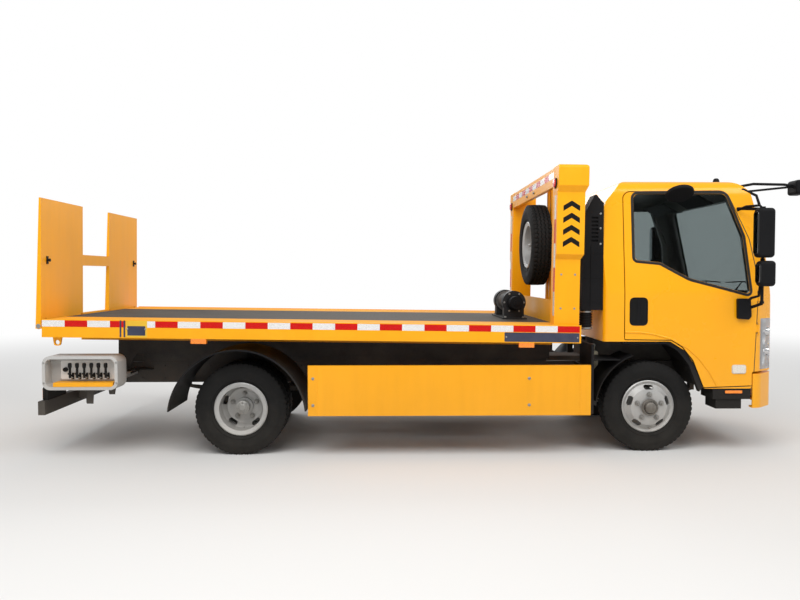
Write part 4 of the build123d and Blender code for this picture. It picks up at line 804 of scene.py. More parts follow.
def blow_up(shown, swell):
    """Fills a closed cloth form with air for a moment and keeps its shape."""
    rest = [vertex.co.copy() for vertex in shown.data.vertices]
    cloth = shown.modifiers.new("padding", "CLOTH")
    cloth.settings.use_pressure = True
    cloth.settings.uniform_pressure_force = 3.0
    cloth.settings.effector_weights.gravity = 0.0
    cloth.settings.quality = 5
    cloth.point_cache.frame_end = 16
    scene = bpy.context.scene
    for number in range(1, 15):
        scene.frame_set(number)
    done = shown.evaluated_get(bpy.context.evaluated_depsgraph_get())
    moved = [vertex.co.copy() for vertex in done.data.vertices]
    shown.modifiers.remove(cloth)
    scene.frame_set(1)
    for vertex, before, after in zip(shown.data.vertices, rest, moved):
        shift = after - before
        if shift.length > swell * MM:
            shift = shift.normalized() * swell * MM
        vertex.co = before + shift


# Operators

class TOW_OT_finishes(Operator):
    """Make the finishes and give each CAD node its own"""
    bl_idname = "tow.finishes"
    bl_label = "Finishes"

    def execute(self, context):
        tints = context.scene.tow_colours
        road = tuple(tints.dust)
        for make in (weathering_effect, chequer_effect, weave_effect, cell_effect, facing_effect):
            make()
        # Painted shade: inner faces of the cab shell and doors darkened to grey, and faces inside the front
        # wheel arch turned black, partly the liner's own black and partly painted shade
        painted_shade_rooms = (((0.20, 0.195, 0.18), dict(X=2.1, Z=1.6, Side=1.0, Reach=9.0, Least=0.05)),
                 (tuple(tints.trim), dict(X=FRONT_AXLE[0] * MM, Z=FRONT_AXLE[1] * MM, Side=0.0, Reach=0.78,
                                          Least=0.3)))
        coach = dict(levels=(0.2, 1.2), scale=1.1, relief_mm=0.03, vary=(0.96, 1.02), coat=0.14)
        sheet = dict(levels=(0.5, 0.9), scale=3.0, vary=(0.88, 1.06), streaks=0.10)
        plain = {
            "body_yellow": (tints.body, (0.22, 0.34), 0.08, coach),
            "cab_yellow": (tints.body, (0.22, 0.34), 0.08, dict(coach, painted_shade_rooms=painted_shade_rooms)),
            "bed_yellow": (tints.body, (0.3, 0.48), 0.08,
                           dict(levels=(0.2, 1.1), scale=1.8, relief_mm=0.06, vary=(0.94, 1.02),
                                streaks=0.08)),
            "chassis_black": (tints.chassis, (0.45, 0.65), 0.3,
                              dict(levels=(0.1, 1.1), scale=3.5, relief_mm=0.15, vary=(0.7, 1.6),
                                   streaks=0.15)),
            "engine_grey": ((0.09, 0.09, 0.09), (0.5, 0.75), 0.6,
                            dict(levels=(0.3, 1.1), scale=5.0, grain=60.0, relief_mm=0.8, vary=(0.7, 1.3))),
            "tank_black": ((0.02, 0.02, 0.022), (0.3, 0.5), 0.45, dict(levels=(0.3, 0.9))),
            "box_grey": ((0.52, 0.51, 0.49), (0.35, 0.5), 0.25, sheet),
            "panel_grey": ((0.84, 0.83, 0.80), (0.35, 0.5), 0.1, sheet),
            "moulded_black": (tints.trim, (0.45, 0.62), 0.06,
                              dict(levels=(0.2, 1.2), grain=420.0, relief_mm=0.25, vary=(0.7, 1.15),
                                   shine=0.08)),
            "guard_black": (tints.trim, (0.42, 0.6), 0.10,
                            dict(levels=(0.2, 0.9), grain=260.0, relief_mm=0.3, vary=(0.7, 1.2), shine=0.12)),
            "milky_plastic": ((0.88, 0.80, 0.58), (0.3, 0.45), 0.12, dict(levels=(0.5, 0.9))),
            "dash_plastic": ((0.03, 0.03, 0.032), (0.5, 0.7), 0.1,
                             dict(grain=520.0, relief_mm=0.3, vary=(0.85, 1.2))),
            "wheel_silver": (tints.wheel, (0.32, 0.48), 0.45,
                             dict(metal=0.35, levels=(0.0, 0.75), scale=6.0, vary=(0.8, 1.08), streaks=0.2)),
            "rod_chrome": ((0.62, 0.62, 0.63), (0.08, 0.2), 0.1, dict(metal=1.0, relief_mm=0.01)),
            "zinc": ((0.36, 0.36, 0.35), (0.35, 0.5), 0.3,
                     dict(metal=0.8, levels=(0.2, 1.2), scale=9.0, vary=(0.75, 1.15))),
            "rope_steel": ((0.22, 0.21, 0.20), (0.35, 0.6), 0.2,
                           dict(metal=0.8, scale=12.0, vary=(0.6, 1.2))),
            "hub_grease": ((0.16, 0.15, 0.135), (0.3, 0.55), 0.3,
                           dict(metal=0.6, levels=(0.1, 0.8), scale=14.0, vary=(0.6, 1.5))),
            "seal_rubber": ((0.012, 0.012, 0.012), (0.55, 0.75), 0.12, dict(vary=(0.8, 1.3))),
            "mark_black": ((0.008, 0.008, 0.008), (0.4, 0.55), 0.05, dict(vary=(0.8, 1.4), shine=0.1)),
            "plate_navy": ((0.02, 0.03, 0.07), (0.3, 0.45), 0.12,
                           dict(levels=(0.8, 1.3), scale=8.0, vary=(0.8, 1.2))),
            "plate_blue": ((0.03, 0.09, 0.26), (0.3, 0.45), 0.2, dict(vary=(0.9, 1.1))),
            "white_plastic": ((0.62, 0.61, 0.56), (0.35, 0.5), 0.3, dict(vary=(0.9, 1.05))),
            "label_yellow": ((0.75, 0.45, 0.03), (0.35, 0.5), 0.15, dict(vary=(0.9, 1.05))),
            "mirror_glass": ((0.72, 0.74, 0.75), (0.02, 0.06), 0.06, dict(metal=1.0, relief_mm=0.01)),
        }
        for name, (colour, rough, dust, more) in plain.items():
            plain_finish(name, tuple(colour), rough, dust, road, **more)
        deck_finish("deck_plate", tints)
        glass_finish("window_glass", (0.40, 0.44, 0.44))
        glass_finish("lamp_glass", (0.88, 0.90, 0.92), 0.01, 0.68)
        lens_finish("amber_lens", (0.85, 0.22, 0.01), 0.12)
        lens_finish("clear_lens", (0.72, 0.66, 0.56))
        lens_finish("red_lens", (0.55, 0.01, 0.008), 0.15)
        lens_finish("white_tape", (0.74, 0.72, 0.70), 0.0, 300.0)
        lens_finish("red_tape", (0.58, 0.008, 0.006), 0.0, 300.0, coat=0.0, shine=0.15)
        cloth_finish("seat_cloth", tuple(tints.seat))
        rubber_finish("tyre_rubber", (0.013, 0.0125, 0.012), road)
        by_slot = {"yellow_paint": "bed_yellow", "tank_steel": "tank_black", "grey_paint": "box_grey",
                   "black_plastic": "moulded_black", "clear_plastic": "milky_plastic",
                   "seat_fabric": "seat_cloth", "deck_grey": "deck_plate"}
        special = dict.fromkeys(("cab_shell", "cab_front", "door_right", "door_left"), "cab_yellow")
        special.update(front_bumper="body_yellow", mudguards="guard_black")
        for row in frame["record"]["subparts"]:
            node, slot = frame["nodes"][row["node"]], row["material_slot"]
            node.data.materials.clear()
            node.data.materials.append(FINISHES[special.get(row["node"], by_slot.get(slot, slot))])
        return {"FINISHED"}


class TOW_OT_tyres(Operator):
    """Draw the tyres with their tread"""
    bl_idname = "tow.tyres"
    bl_label = "Tyres"

    def execute(self, context):
        settings = context.scene.tow_wheels
        for side, sign in SIDES:
            middle = sign * REAR_TRACK / 2
            for name, body, (x, z), rows in (
                    ("front_tyre", "front_wheel", FRONT_AXLE, [sign * FRONT_TRACK / 2]),
                    ("rear_tyres", "rear_wheels", REAR_AXLE, [middle - DISC_OFFSET, middle + DISC_OFFSET])):
                form = Form()
                for y in rows:
                    tyre_form(form, (x, y, z), "y", settings)
                form.piece(f"{name}_tread_{side}", f"{body}_{side}", ["tyre_rubber"], "tyre_rubber",
                           replaces=[f"{name}_{side}"])
        low, high = cad_box("spare_tyre")
        form = Form()
        tyre_form(form, ((low.x + high.x) / 2, 0, (low.z + high.z) / 2), "x", settings)
        form.piece("spare_tyre_tread", "bed", ["tyre_rubber"], "tyre_rubber", replaces=["spare_tyre"])
        return {"FINISHED"}


class TOW_OT_wheel_nuts(Operator):
    """Fit the wheel nuts, hub caps and valves"""
    bl_idname = "tow.wheel_nuts"
    bl_label = "Wheel nuts"

    def execute(self, context):
        settings = context.scene.tow_wheels
        for side, sign in SIDES:
            form = Form()
            x, z = FRONT_AXLE
            out = OUT[sign]
            face = sign * (FRONT_TRACK / 2 + DISC_OFFSET)
            nut_ring(form, (x, face, z), out, settings)
            form.paint(1).turned(HUB_CAP, out, (x, face, z), 40)
            form.turned(CAP_RING, out, (x, face, z), 40, closed=True)
            valve(form, x, face - sign * 16, z, out)
            form.piece(f"front_nuts_{side}", f"front_wheel_{side}", ["zinc", "hub_grease"], "wheel_silver")
            form = Form()
            x, z = REAR_AXLE
            disc = sign * (REAR_TRACK / 2 + TWIN_SPACING / 2 - DISC_OFFSET)
            nut_ring(form, (x, disc + sign * 10, z), out, settings)
            flange = sign * (REAR_TRACK / 2 + 105)
            form.turned(SHAFT_FLANGE, out, (x, flange, z), 32)
            for spot in spots((x, flange + sign * 15, z), 41, 8):
                form.bolt(spot, out, 13, 8)
            valve(form, x, disc + sign * 26, z, out)
            form.piece(f"rear_nuts_{side}", f"rear_wheels_{side}", ["zinc"], "wheel_silver")
        return {"FINISHED"}


class TOW_OT_tapes(Operator):
    """Lay the reflective tapes on the bed and the headboard"""
    bl_idname = "tow.tapes"
    bl_label = "Tapes"

    def execute(self, context):
        settings = context.scene.tow_trim
        height, field = settings.tape_height / MM, settings.tape_length / MM
        level = RAIL_TOP - 8 - height / 2
        form = Form()
        for sign in (-1, 1):
            side, post, tail = sign * BED_HALF, sign * POST_Y, BED_X[0]
            for start, end, out in (((tail + 2, side, level), (BED_X[1] - 12, side, level), (0, sign, 0)),
                                    ((PILLAR_REAR, post, 1190), (PILLAR_REAR, post, 2150), REARWARD),
                                    ((tail, sign * 1060, level), (tail, sign * 420, level), REARWARD)):
                tape_run(form, start, end, out, height, field)
        tape_run(form, (PILLAR_REAR, -930, 2318), (PILLAR_REAR, 930, 2318), REARWARD, height, field)
        form.piece("bed_tape", "bed", ["white_tape", "red_tape"], "yellow_paint", raked=True)
        return {"FINISHED"}


class TOW_OT_headboard_trim(Operator):
    """Mark the headboard with chevrons and fit its lamps, screws and the spare wheel's clamp"""
    bl_idname = "tow.headboard_trim"
    bl_label = "Headboard trim"

    def execute(self, context):
        size = context.scene.tow_trim.screw_size / MM
        form = Form()
        x0, x1 = 1034.0, 1166.0
        middle = (x0 + x1) / 2
        for z in range(1736, 2022, 95):
            mark = [(x0, z), (x0, z + 42), (middle, z + 82), (x1, z + 42), (x1, z), (middle, z + 40)]
            form.prism(mark, "y", -PILLAR_Y - 0.5, -PILLAR_Y)
        form.mirrored().piece("pillar_chevrons", "bed", ["mark_black"], "yellow_paint", raked=True)
        form = Form()
        for x in (1035, 1145):
            for z in (1250, 1520):
                form.screw((x, -PILLAR_FOOT_Y, z), "-y", size * 0.7)
        form.mirrored().piece("headboard_screws", "bed", ["zinc"], "wheel_silver", raked=True)
        form = Form()
        low, high = cad_box("spare_tyre")
        x, z = low.x + 58, (low.z + high.z) / 2
        form.turned([(0.01, 60), (14, 60), (14, -20), (11, -26), (0.01, -26)], "x", (x, 0, z), 20)
        form.turned([(14.5, 24), (112, 24), (116, 20), (112, 14), (40, 10), (14.5, 10)], "x", (x, 0, z),
                    closed=True)
        form.bolt((x + 10, 0, z), "-x", 42, 26)
        form.piece("spare_clamp", "bed", ["zinc"], "wheel_silver")
        form = Form()
        for y in (-POST_Y, POST_Y):
            centre = (PILLAR_REAR, y, 2245)
            form.paint(0).turned([(0.01, 0), (34, 0), (36, 4), (36, 14), (30, 20), (0.01, 22)], "-x", centre,
                                 32)
            form.paint(1).turned([(37, 0), (42, 0), (42, 9), (37, 11)], "-x", centre, 32, closed=True)
        form.piece("headboard_lamps", "bed", ["red_lens", "seal_rubber"], "red_lens", raked=True)
        form = Form()
        for y in (-720, 720):
            for z in (1170, 1240):
                form.bolt((1045, y, z), "-x", 19, 10)
        for y in (-160, 160):
            form.bolt((PILLAR_REAR, y, 2262), "-x", 24, 14)
        form.piece("headboard_bolts", "bed", ["zinc"], "yellow_paint", raked=True)
        return {"FINISHED"}


class TOW_OT_plates(Operator):
    """Fix the blank plates and labels"""
    bl_idname = "tow.plates"
    bl_label = "Blank plates"

    def execute(self, context):
        size = context.scene.tow_trim.screw_size / MM * 0.55
        for name, finish, x, z, thick in (("side_plates", "plate_navy", (583, 1176), (985, 1058), 1.4),
                                          ("rail_labels", "label_yellow", (-2385, -2218), (985, 1116), 1.6)):
            face = -BED_HALF - thick
            form = Form()
            form.prism(pad(x, z, 6), "y", face, -BED_HALF).paint(1)
            for a in (x[0] + 14, x[1] - 14):
                form.screw((a, face, (z[0] + z[1]) / 2), "-y", size)
            if name == "rail_labels":
                form.paint(2).box((x[0] + 14, x[1] - 14), (face - 0.6, face + 0.2), (z[0] + 14, z[0] + 88))
                for a in (x[0] - 46, x[0] - 16):
                    form.box((a, a + 13), (-BED_HALF - 1.4, -BED_HALF), z)
            form.mirrored().piece(name, "bed", [finish, "zinc", "plate_navy"], "yellow_paint", raked=True)
        outline = pad((-220, 220), (470, 610), 10)
        form = Form()
        form.prism(outline, "x", CAB_FRONT + 20, CAB_FRONT + 23).paint(1)
        for y in (-150, 150):
            form.screw((CAB_FRONT + 23, y, 590), "x", size)
        form.piece("front_number_plate", "cab", ["plate_blue", "zinc"], "yellow_paint", bevel=0.8)
        form = Form()
        form.prism(outline, "x", REAR_BAR_X + 3, REAR_BAR_X + 6).paint(1)
        for y in (-150, 150):
            form.box((REAR_BAR_X + 6, REAR_BAR_X + 11), (y - 15, y + 15), (REAR_BAR_TOP, 590))
        form.piece("rear_number_plate", "chassis", ["label_yellow", "chassis_black"], "chassis_black",
                   bevel=0.8)
        return {"FINISHED"}


class TOW_OT_seals(Operator):
    """Lay the rubber seals round the windows"""
    bl_idname = "tow.seals"
    bl_label = "Window seals"

    def execute(self, context):
        outline = rounded(SIDE_WINDOW, WINDOW_RADII, 8)
        for side, sign in SIDES:
            form = Form()
            window_seal(form, skin(f"door_{side}"), outline, lambda a, b, y=sign * 1100: (a, y, b),
                        (0, -sign, 0))
            form.piece(f"door_seal_{side}", f"door_{side}", ["seal_rubber"], "black_plastic")
        shell = skin("cab_shell")
        form = Form()
        screen = rounded([(-760, 1330), (760, 1330), (700, 2110), (-700, 2110)], 60, 8)
        rear = pad((-420, 420), (1560, 1960), 40, 8)
        for opening, x, way in ((screen, CAB_FRONT + 120, -1), (rear, CAB_REAR - 60, 1)):
            window_seal(form, shell, dense(opening), lambda a, b, x=x: (x, a, b), (way, 0, 0))
        form.piece("screen_seals", "cab", ["seal_rubber"], "black_plastic")
        return {"FINISHED"}


class TOW_OT_door_trim(Operator):
    """Fit the door handles, mirror parts, side lamps and the wheel arches' crease and lip"""
    bl_idname = "tow.door_trim"
    bl_label = "Door trim"

    def execute(self, context):
        x0, x1 = HANDLE_X
        z0, z1 = HANDLE_Z
        rim = pad((x0 - 5, x1 + 5), (z0 - 5, z1 + 5), 43, 8)
        cup = [(widened(rim, -reach) if reach else rim, depth) for reach, depth in
               ((0, 0.4), (0, -2.5), (6, -3.5), (9, -2.0), (14, 22.5))]
        edge = rounded(ARCH_EDGE, (0, 60, 60, 60, 0), 6)
        lip = edge + [(a - 30 if index > 3 else a, b - 34) for index, (a, b) in enumerate(edge)][::-1]
        for side, sign in SIDES:
            body = f"door_{side}"
            out = OUT[sign]
            form = Form()
            rings = [[(a, sign * (CAB_HALF - depth), b) for a, b in outline] for outline, depth in cup]
            count = len(rim)
            form.paint(2).add(sum(rings, []), [*joined(len(cup), count, False),
                                               tuple(range(4 * count, 5 * count)), tuple(range(count))])
            grip = pad((x0 + 54, x0 + 86), (-2, 16), 5)
            form.paint(0).prism([(a, sign * (CAB_HALF - b)) for a, b in grip], "z", z0 + 1, z1 - 1)
            form.prism(pad((x0 + 16, x1 - 16), (z0 + 12, z0 + 52), 10), "y", sign * (CAB_HALF - 6),
                       sign * (CAB_HALF - 22))
            form.paint(1).turned([(0.01, 0), (11, 0), (11, 1.5), (9, 2.5), (0.01, 2.5)], out,
                                 (x0 + 30, sign * (CAB_HALF - 6), z0 + 32), 24)
            form.piece(f"door_handle_{side}", body, ["moulded_black", "zinc", "mark_black"], "black_plastic",
                       bevel=1.2)
            form = Form()
            foot = rounded([(2508, 1276), (2612, 1276), (2622, 1132), (2600, 1104), (2512, 1112)], 14)
            form.prism(foot, "y", sign * (CAB_HALF - 14), sign * (CAB_HALF + 34))
            form.tube([(x, sign * (CAB_HALF + y), z) for x, y, z in
                       ((2585, 20, 1250), (2606, 52, 1282), (2640, 100, 1300), (2646, 110, 1378))], 11)
            form.piece(f"mirror_bracket_{side}", body, ["moulded_black"], "black_plastic", bevel=6,
                       segments=3)
            form = Form()
            door = skin(body)
            face = landed(door, (2540, sign * BESIDE, 696), (0, -sign, 0))[0].y
            lens = pad((2486, 2594), (664, 728), 14)
            form.prism(widened(lens, 5), "y", face - sign * 3, face + sign * 3)
            form.paint(1).prism(lens, "y", face, face + sign * 9)
            form.piece(f"side_lamp_{side}", body, ["white_plastic", "clear_lens"], "amber_lens", bevel=2.5)
            form = Form()
            path = [landed(door, (a, sign * BESIDE, b), (0, -sign, 0))[0] for a, b in ARCH_CREASE]
            form.tube([point - Vector((0, sign * 2, 0)) for point in path], 9, 16)
            form.piece(f"arch_crease_{side}", body, ["body_yellow"], "yellow_paint", sharp=50)
            form = Form()
            form.prism(lip, "y", sign * (CAB_HALF - 12), sign * (CAB_HALF - 60))
            form.piece(f"arch_lip_{side}", body, ["guard_black"], "black_plastic", bevel=2)
            form = Form()
            for x, z in ((2560.4, (1636, 1962)), (2580.4, (1408, 1552))):
                outline = pad((sign * 1090, sign * 1158), z, 20)
                form.paint(0).prism(widened(outline, 4), "x", x - 2, x + 12)
                form.paint(1).prism(outline, "x", x - 3, x - 1.5)
            form.piece(f"mirror_glass_{side}", body, ["seal_rubber", "mirror_glass"], "black_plastic",
                       bevel=0.8)
            form = Form()
            form.tube([(x, sign * y, z) for x, y, z in
                       ((2530, 880, 1995), (2560, 960, 2020), (2620, 1060, 2020), (2640, 1085, 1985))], 10)
            collar = [(13, -9), (17, -9), (17, 9), (13, 9)]
            for z in (1250, 1590, 2000):
                form.turned(collar, "z", (2640, sign * 1080, z), 20, closed=True)
            form.piece(f"mirror_collars_{side}", body, ["moulded_black"], "black_plastic", bevel=1.5)
        return {"FINISHED"}


class TOW_OT_cab_trim(Operator):
    """Fit the wipers, roof parts, grille backing, headlamp bowls, fog lamps and steps' reflectors"""
    bl_idname = "tow.cab_trim"
    bl_label = "Cab trim"

    def execute(self, context):
        glass, shell = skin("cab_glass"), skin("cab_shell")
        form = Form()
        for y0, y1, pivot in ((-640, -60, -130), (60, 640, 580)):
            blade = []
            for step in range(9):
                y = y0 + (y1 - y0) * step / 8
                spot, out = landed(glass, (CAB_FRONT + 100, y, 1404 - 10 * abs(step - 4) / 4), REARWARD)
                blade.append(spot + out * 13)
            form.ribbon(blade, UPRIGHT_FRONT, 9, 12)
            middle = blade[4]
            foot = landed(shell, (CAB_FRONT + 100, pivot, 1312), REARWARD)[0]
            form.tube([foot + Vector((-6, 0, 0)), foot + Vector((26, 0, 2)),
                       foot.lerp(middle, 0.5) + Vector((22, 0, 4)), middle + Vector((12, 0, 0))],
                      [12, 9, 6, 5])
            form.turned([(0.01, 0), (15, 0), (15, 10), (10, 18), (0.01, 20)], "x", foot, 20)
        form.piece("wipers", "cab", ["seal_rubber"], "black_plastic", bevel=0.8)
        form = Form()
        roof = landed(shell, (2460, -640, 2400), (0, 0, -1))[0]
        form.turned([(0.01, -3), (34, -3), (34, 2), (27, 14), (22, 34), (12, 42), (0.01, 43)], "z", roof, 28)
        form.tube([(2480, -720, 2185), (2720, -760, 2226), (2960, -795, 2217), (3030, -800, 2205)], 11)
        form.tube([(2505, -800, 2150), (2600, -830, 2172), (2700, -850, 2120), (2700, -900, 2040)], 11)
        form.piece("roof_fittings", "cab", ["moulded_black"], "black_plastic")
        low, high, count = GRILLE
        pitch = (high - low) / count
        form = Form()
        for index in range(count):
            z = low + index * pitch
            form.box((CAB_FRONT - 25.8, CAB_FRONT - 24.6), (-519, 519), (z + 0.4, z + pitch * 0.55 - 0.4))
            for step in range(-16, 17):
                y = step * 31.5
                form.box((CAB_FRONT - 25, CAB_FRONT - 15), (y - 2, y + 2), (z + 0.6, z + pitch * 0.55 - 0.6))
        form.piece("grille_backing", "cab", ["mark_black"], "black_plastic", bevel=0.5)
        form = Form()
        form.prism(pad((-640, -868), (712, 1088), 30), "x", 2752, 2760)
        for y, z, radius in ((-722, 1000, 72), (-722, 838, 66), (-822, 1000, 34), (-822, 838, 34)):
            bowl = [(radius * share, depth) for share, depth in LAMP_BOWL]
            form.paint(1).turned(bowl, "x", (2764, y, z), 36, closed=True)
        form.paint(2).turned([(0.01, 24), (9, 24), (11, 34), (8, 46), (0.01, 50)], "x", (2764, -822, 838), 20)
        form.mirrored().piece("headlamp_bowls", "cab", ["dash_plastic", "rod_chrome", "amber_lens"],
                              "lamp_glass")
        face = CAB_HALF - 5
        form = Form()
        form.prism(pad((2424, 2576), (492, 528), 8), "y", -face, -face - 3)
        form.paint(1).prism(pad((2430, 2570), (498, 522), 6), "y", -face - 2, -face - 6)
        form.paint(0)
        for x in range(2356, 2644, 32):
            form.box((x, x + 14), (20 - face, 200 - face), (537, 541))
        form.mirrored().piece("step_reflectors", "cab", ["moulded_black", "amber_lens"], "black_plastic",
                              bevel=1.2)
        form = Form()
        centre = (CAB_FRONT + 18, -560, 510)
        form.turned([(58, -2), (66, -2), (66, 4), (58, 6)], "x", centre, 36, closed=True)
        form.paint(1).turned([(0.01, 0), (57, 0), (57, 3), (40, 7), (0.01, 9)], "x", centre, 36)
        form.mirrored().piece("fog_lamps", "cab", ["moulded_black", "lamp_glass"], "lamp_glass")
        return {"FINISHED"}


class TOW_OT_intake_trim(Operator):
    """Fit the intake's screws, clamps and seam"""
    bl_idname = "tow.intake_trim"
    bl_label = "Intake trim"

    def execute(self, context):
        size = context.scene.tow_trim.screw_size / MM * 0.7
        form = Form()
        for z in (1966, 1847, 1721):
            form.screw((1400, -900, z), "-y", size)
        for z in (1032, 1166):
            form.turned([(54.5, -6), (57.5, -6), (57.5, 6), (54.5, 6)], "z", (1302, -830, z), 40, closed=True)
        form.piece("intake_screws", "cab", ["zinc"], "black_plastic")
        form = Form()
        form.ribbon([(1322, -902.2, 1200), (1322, -902.2, 1700)], (0, -1, 0), 5, 2.5)
        for z in (1240, 1440, 1640):
            form.box((1262, 1420), (-903, -899.5), (z, z + 9))
        form.piece("intake_ribs", "cab", ["moulded_black"], "black_plastic", bevel=1)
        return {"FINISHED"}


class TOW_OT_side_trim(Operator):
    """Fit the guards' screws, the control boxes' levers and panels, and their brackets"""
    bl_idname = "tow.side_trim"
    bl_label = "Side trim"

    def execute(self, context):
        size = context.scene.tow_trim.screw_size / MM
        form = Form()
        for x in (-930, 800):
            for z in (427, 641):
                form.screw((x, -GUARD_Y, z), "-y", size)
        form.mirrored().piece("guard_screws", "chassis", ["zinc"], "yellow_paint")
        form = Form()
        for x in (-899, 1213):
            form.ribbon([(x, -GUARD_Y + 0.5, 352), (x, -GUARD_Y + 0.5, 735)], (0, -1, 0), 14, 2.2)
        form.mirrored().piece("guard_folds", "chassis", ["bed_yellow"], "yellow_paint")
        x0, x1 = BOX_X
        form = Form()
        panel = pad((x0 + 96, x1 - 28), (636, 790), 18)
        form.prism(panel, "y", -985, -981)
        form.paint(4).ribbon([(a, -985, b) for a, b in panel], (0, -1, 0), 8, 4, loop=True)
        form.paint(1).box((x0 + 82, x1 - 40), (-1086, -984), (BOX_FLOOR + 25, BOX_FLOOR + 58))
        form.paint(2)
        for index in range(6):
            x = x0 + 200 + index * 56
            form.turned(LEVER, "z", (x, -1050, 656), 20)
            form.box((x - 6, x + 6), (-1004, -984.5), (640, 690))
            form.tube([(x, -1012, 668), (x - 30, -1020, 688)], 7)
        knob = [(0.01, 0), (16, 0), (18, 8), (18, 24), (14, 32), (0.01, 34)]
        form.turned(knob, "y", (x0 + 142, -1012, 716), 24)
        form.paint(3)
        for x in (x0 + 12, x1 - 10):
            for z in (620, 780):
                form.screw((x, -BOX_Y, z), "-y", size * 0.6)
        finishes = ["panel_grey", "bed_yellow", "mark_black", "zinc", "box_grey"]
        form.mirrored().piece("control_panel", "chassis", finishes, "grey_paint", bevel=2.5)
        form = Form()
        for x, low, half in ((-2711, 440, 34), (-2534, 515, 30)):
            left, right = x - half, x + half
            form.prism([(left, 566), (right, 566), (right - 8, low), (left + 8, low)], "y", -990, -982)
            form.prism([(left, 566), (left + 6, 566), (left + 12, low + 6), (left + 6, low + 6)], "y",
                       -990, -940)
        form.mirrored().piece("box_brackets", "chassis", ["chassis_black"], "chassis_black", bevel=1.5)
        return {"FINISHED"}


class TOW_OT_ramp_trim(Operator):
    """Fit the ramp's hooks and hinge ends"""
    bl_idname = "tow.ramp_trim"
    bl_label = "Ramp trim"

    def execute(self, context):
        start = lean((RAMP_HINGE[0] + 222, -970, 1580))
        face = RAMP_HINGE[0] + 223 + landed(skin("ramp"), start, REARWARD)[0].x - start.x
        form = Form()
        form.paint(2).box((face - 3, face + 4), (-986, -954), (1550, 1612))
        form.turned([(0.01, 3), (9, 3), (9, 14), (13, 18), (13, 24), (0.01, 25)], "x", (face, -970, 1581), 24)
        form.paint(1)
        for y in (-1055, -320):
            form.bolt((RAMP_HINGE[0], y - 12.5, RAMP_HINGE[1]), "-y", 40, 10)
        form.mirrored().piece("ramp_hooks", "ramp", ["bed_yellow", "zinc", "mark_black"], "yellow_paint",
                              raked=True, bevel=1)
        return {"FINISHED"}


class TOW_OT_winch_trim(Operator):
    """Wind the winch's rope and fit its motor"""
    bl_idname = "tow.winch_trim"
    bl_label = "Winch trim"

    def execute(self, context):
        x, z = WINCH
        form = Form()
        profile = [(68.0, -156.0)]
        for along in range(-156, 156, 12):
            profile += [(70.5, along), (76, along + 3), (78, along + 6), (76, along + 9), (70.5, along + 12)]
        form.turned([*profile, (68.0, 156.0)], "y", (x, 0, z), 40, closed=True)
        form.piece("wound_rope", "winch_drum", ["rope_steel"], "rope_steel", raked=True, sharp=60)
        form = Form()
        form.paint(1).turned([(r, 280 + a) for r, a in MOTOR_BODY], "-y", (x, 0, z), 40)
        form.turned([(r, 280 + a * 0.6) for r, a in MOTOR_BODY], "y", (x, 0, z), 40)
        form.paint(0)
        for sign in (-1, 1):
            for shift in (-80, 80):
                form.bolt((x + shift, sign * 294, DECK_TOP + 14), "z", 22, 13)
            for spot in spots((x, sign * 280, z), 88, 6):
                form.bolt(spot, OUT[sign], 14, 8)
        form.piece("winch_motor", "bed", ["zinc", "moulded_black"], "chassis_black", raked=True)
        return {"FINISHED"}


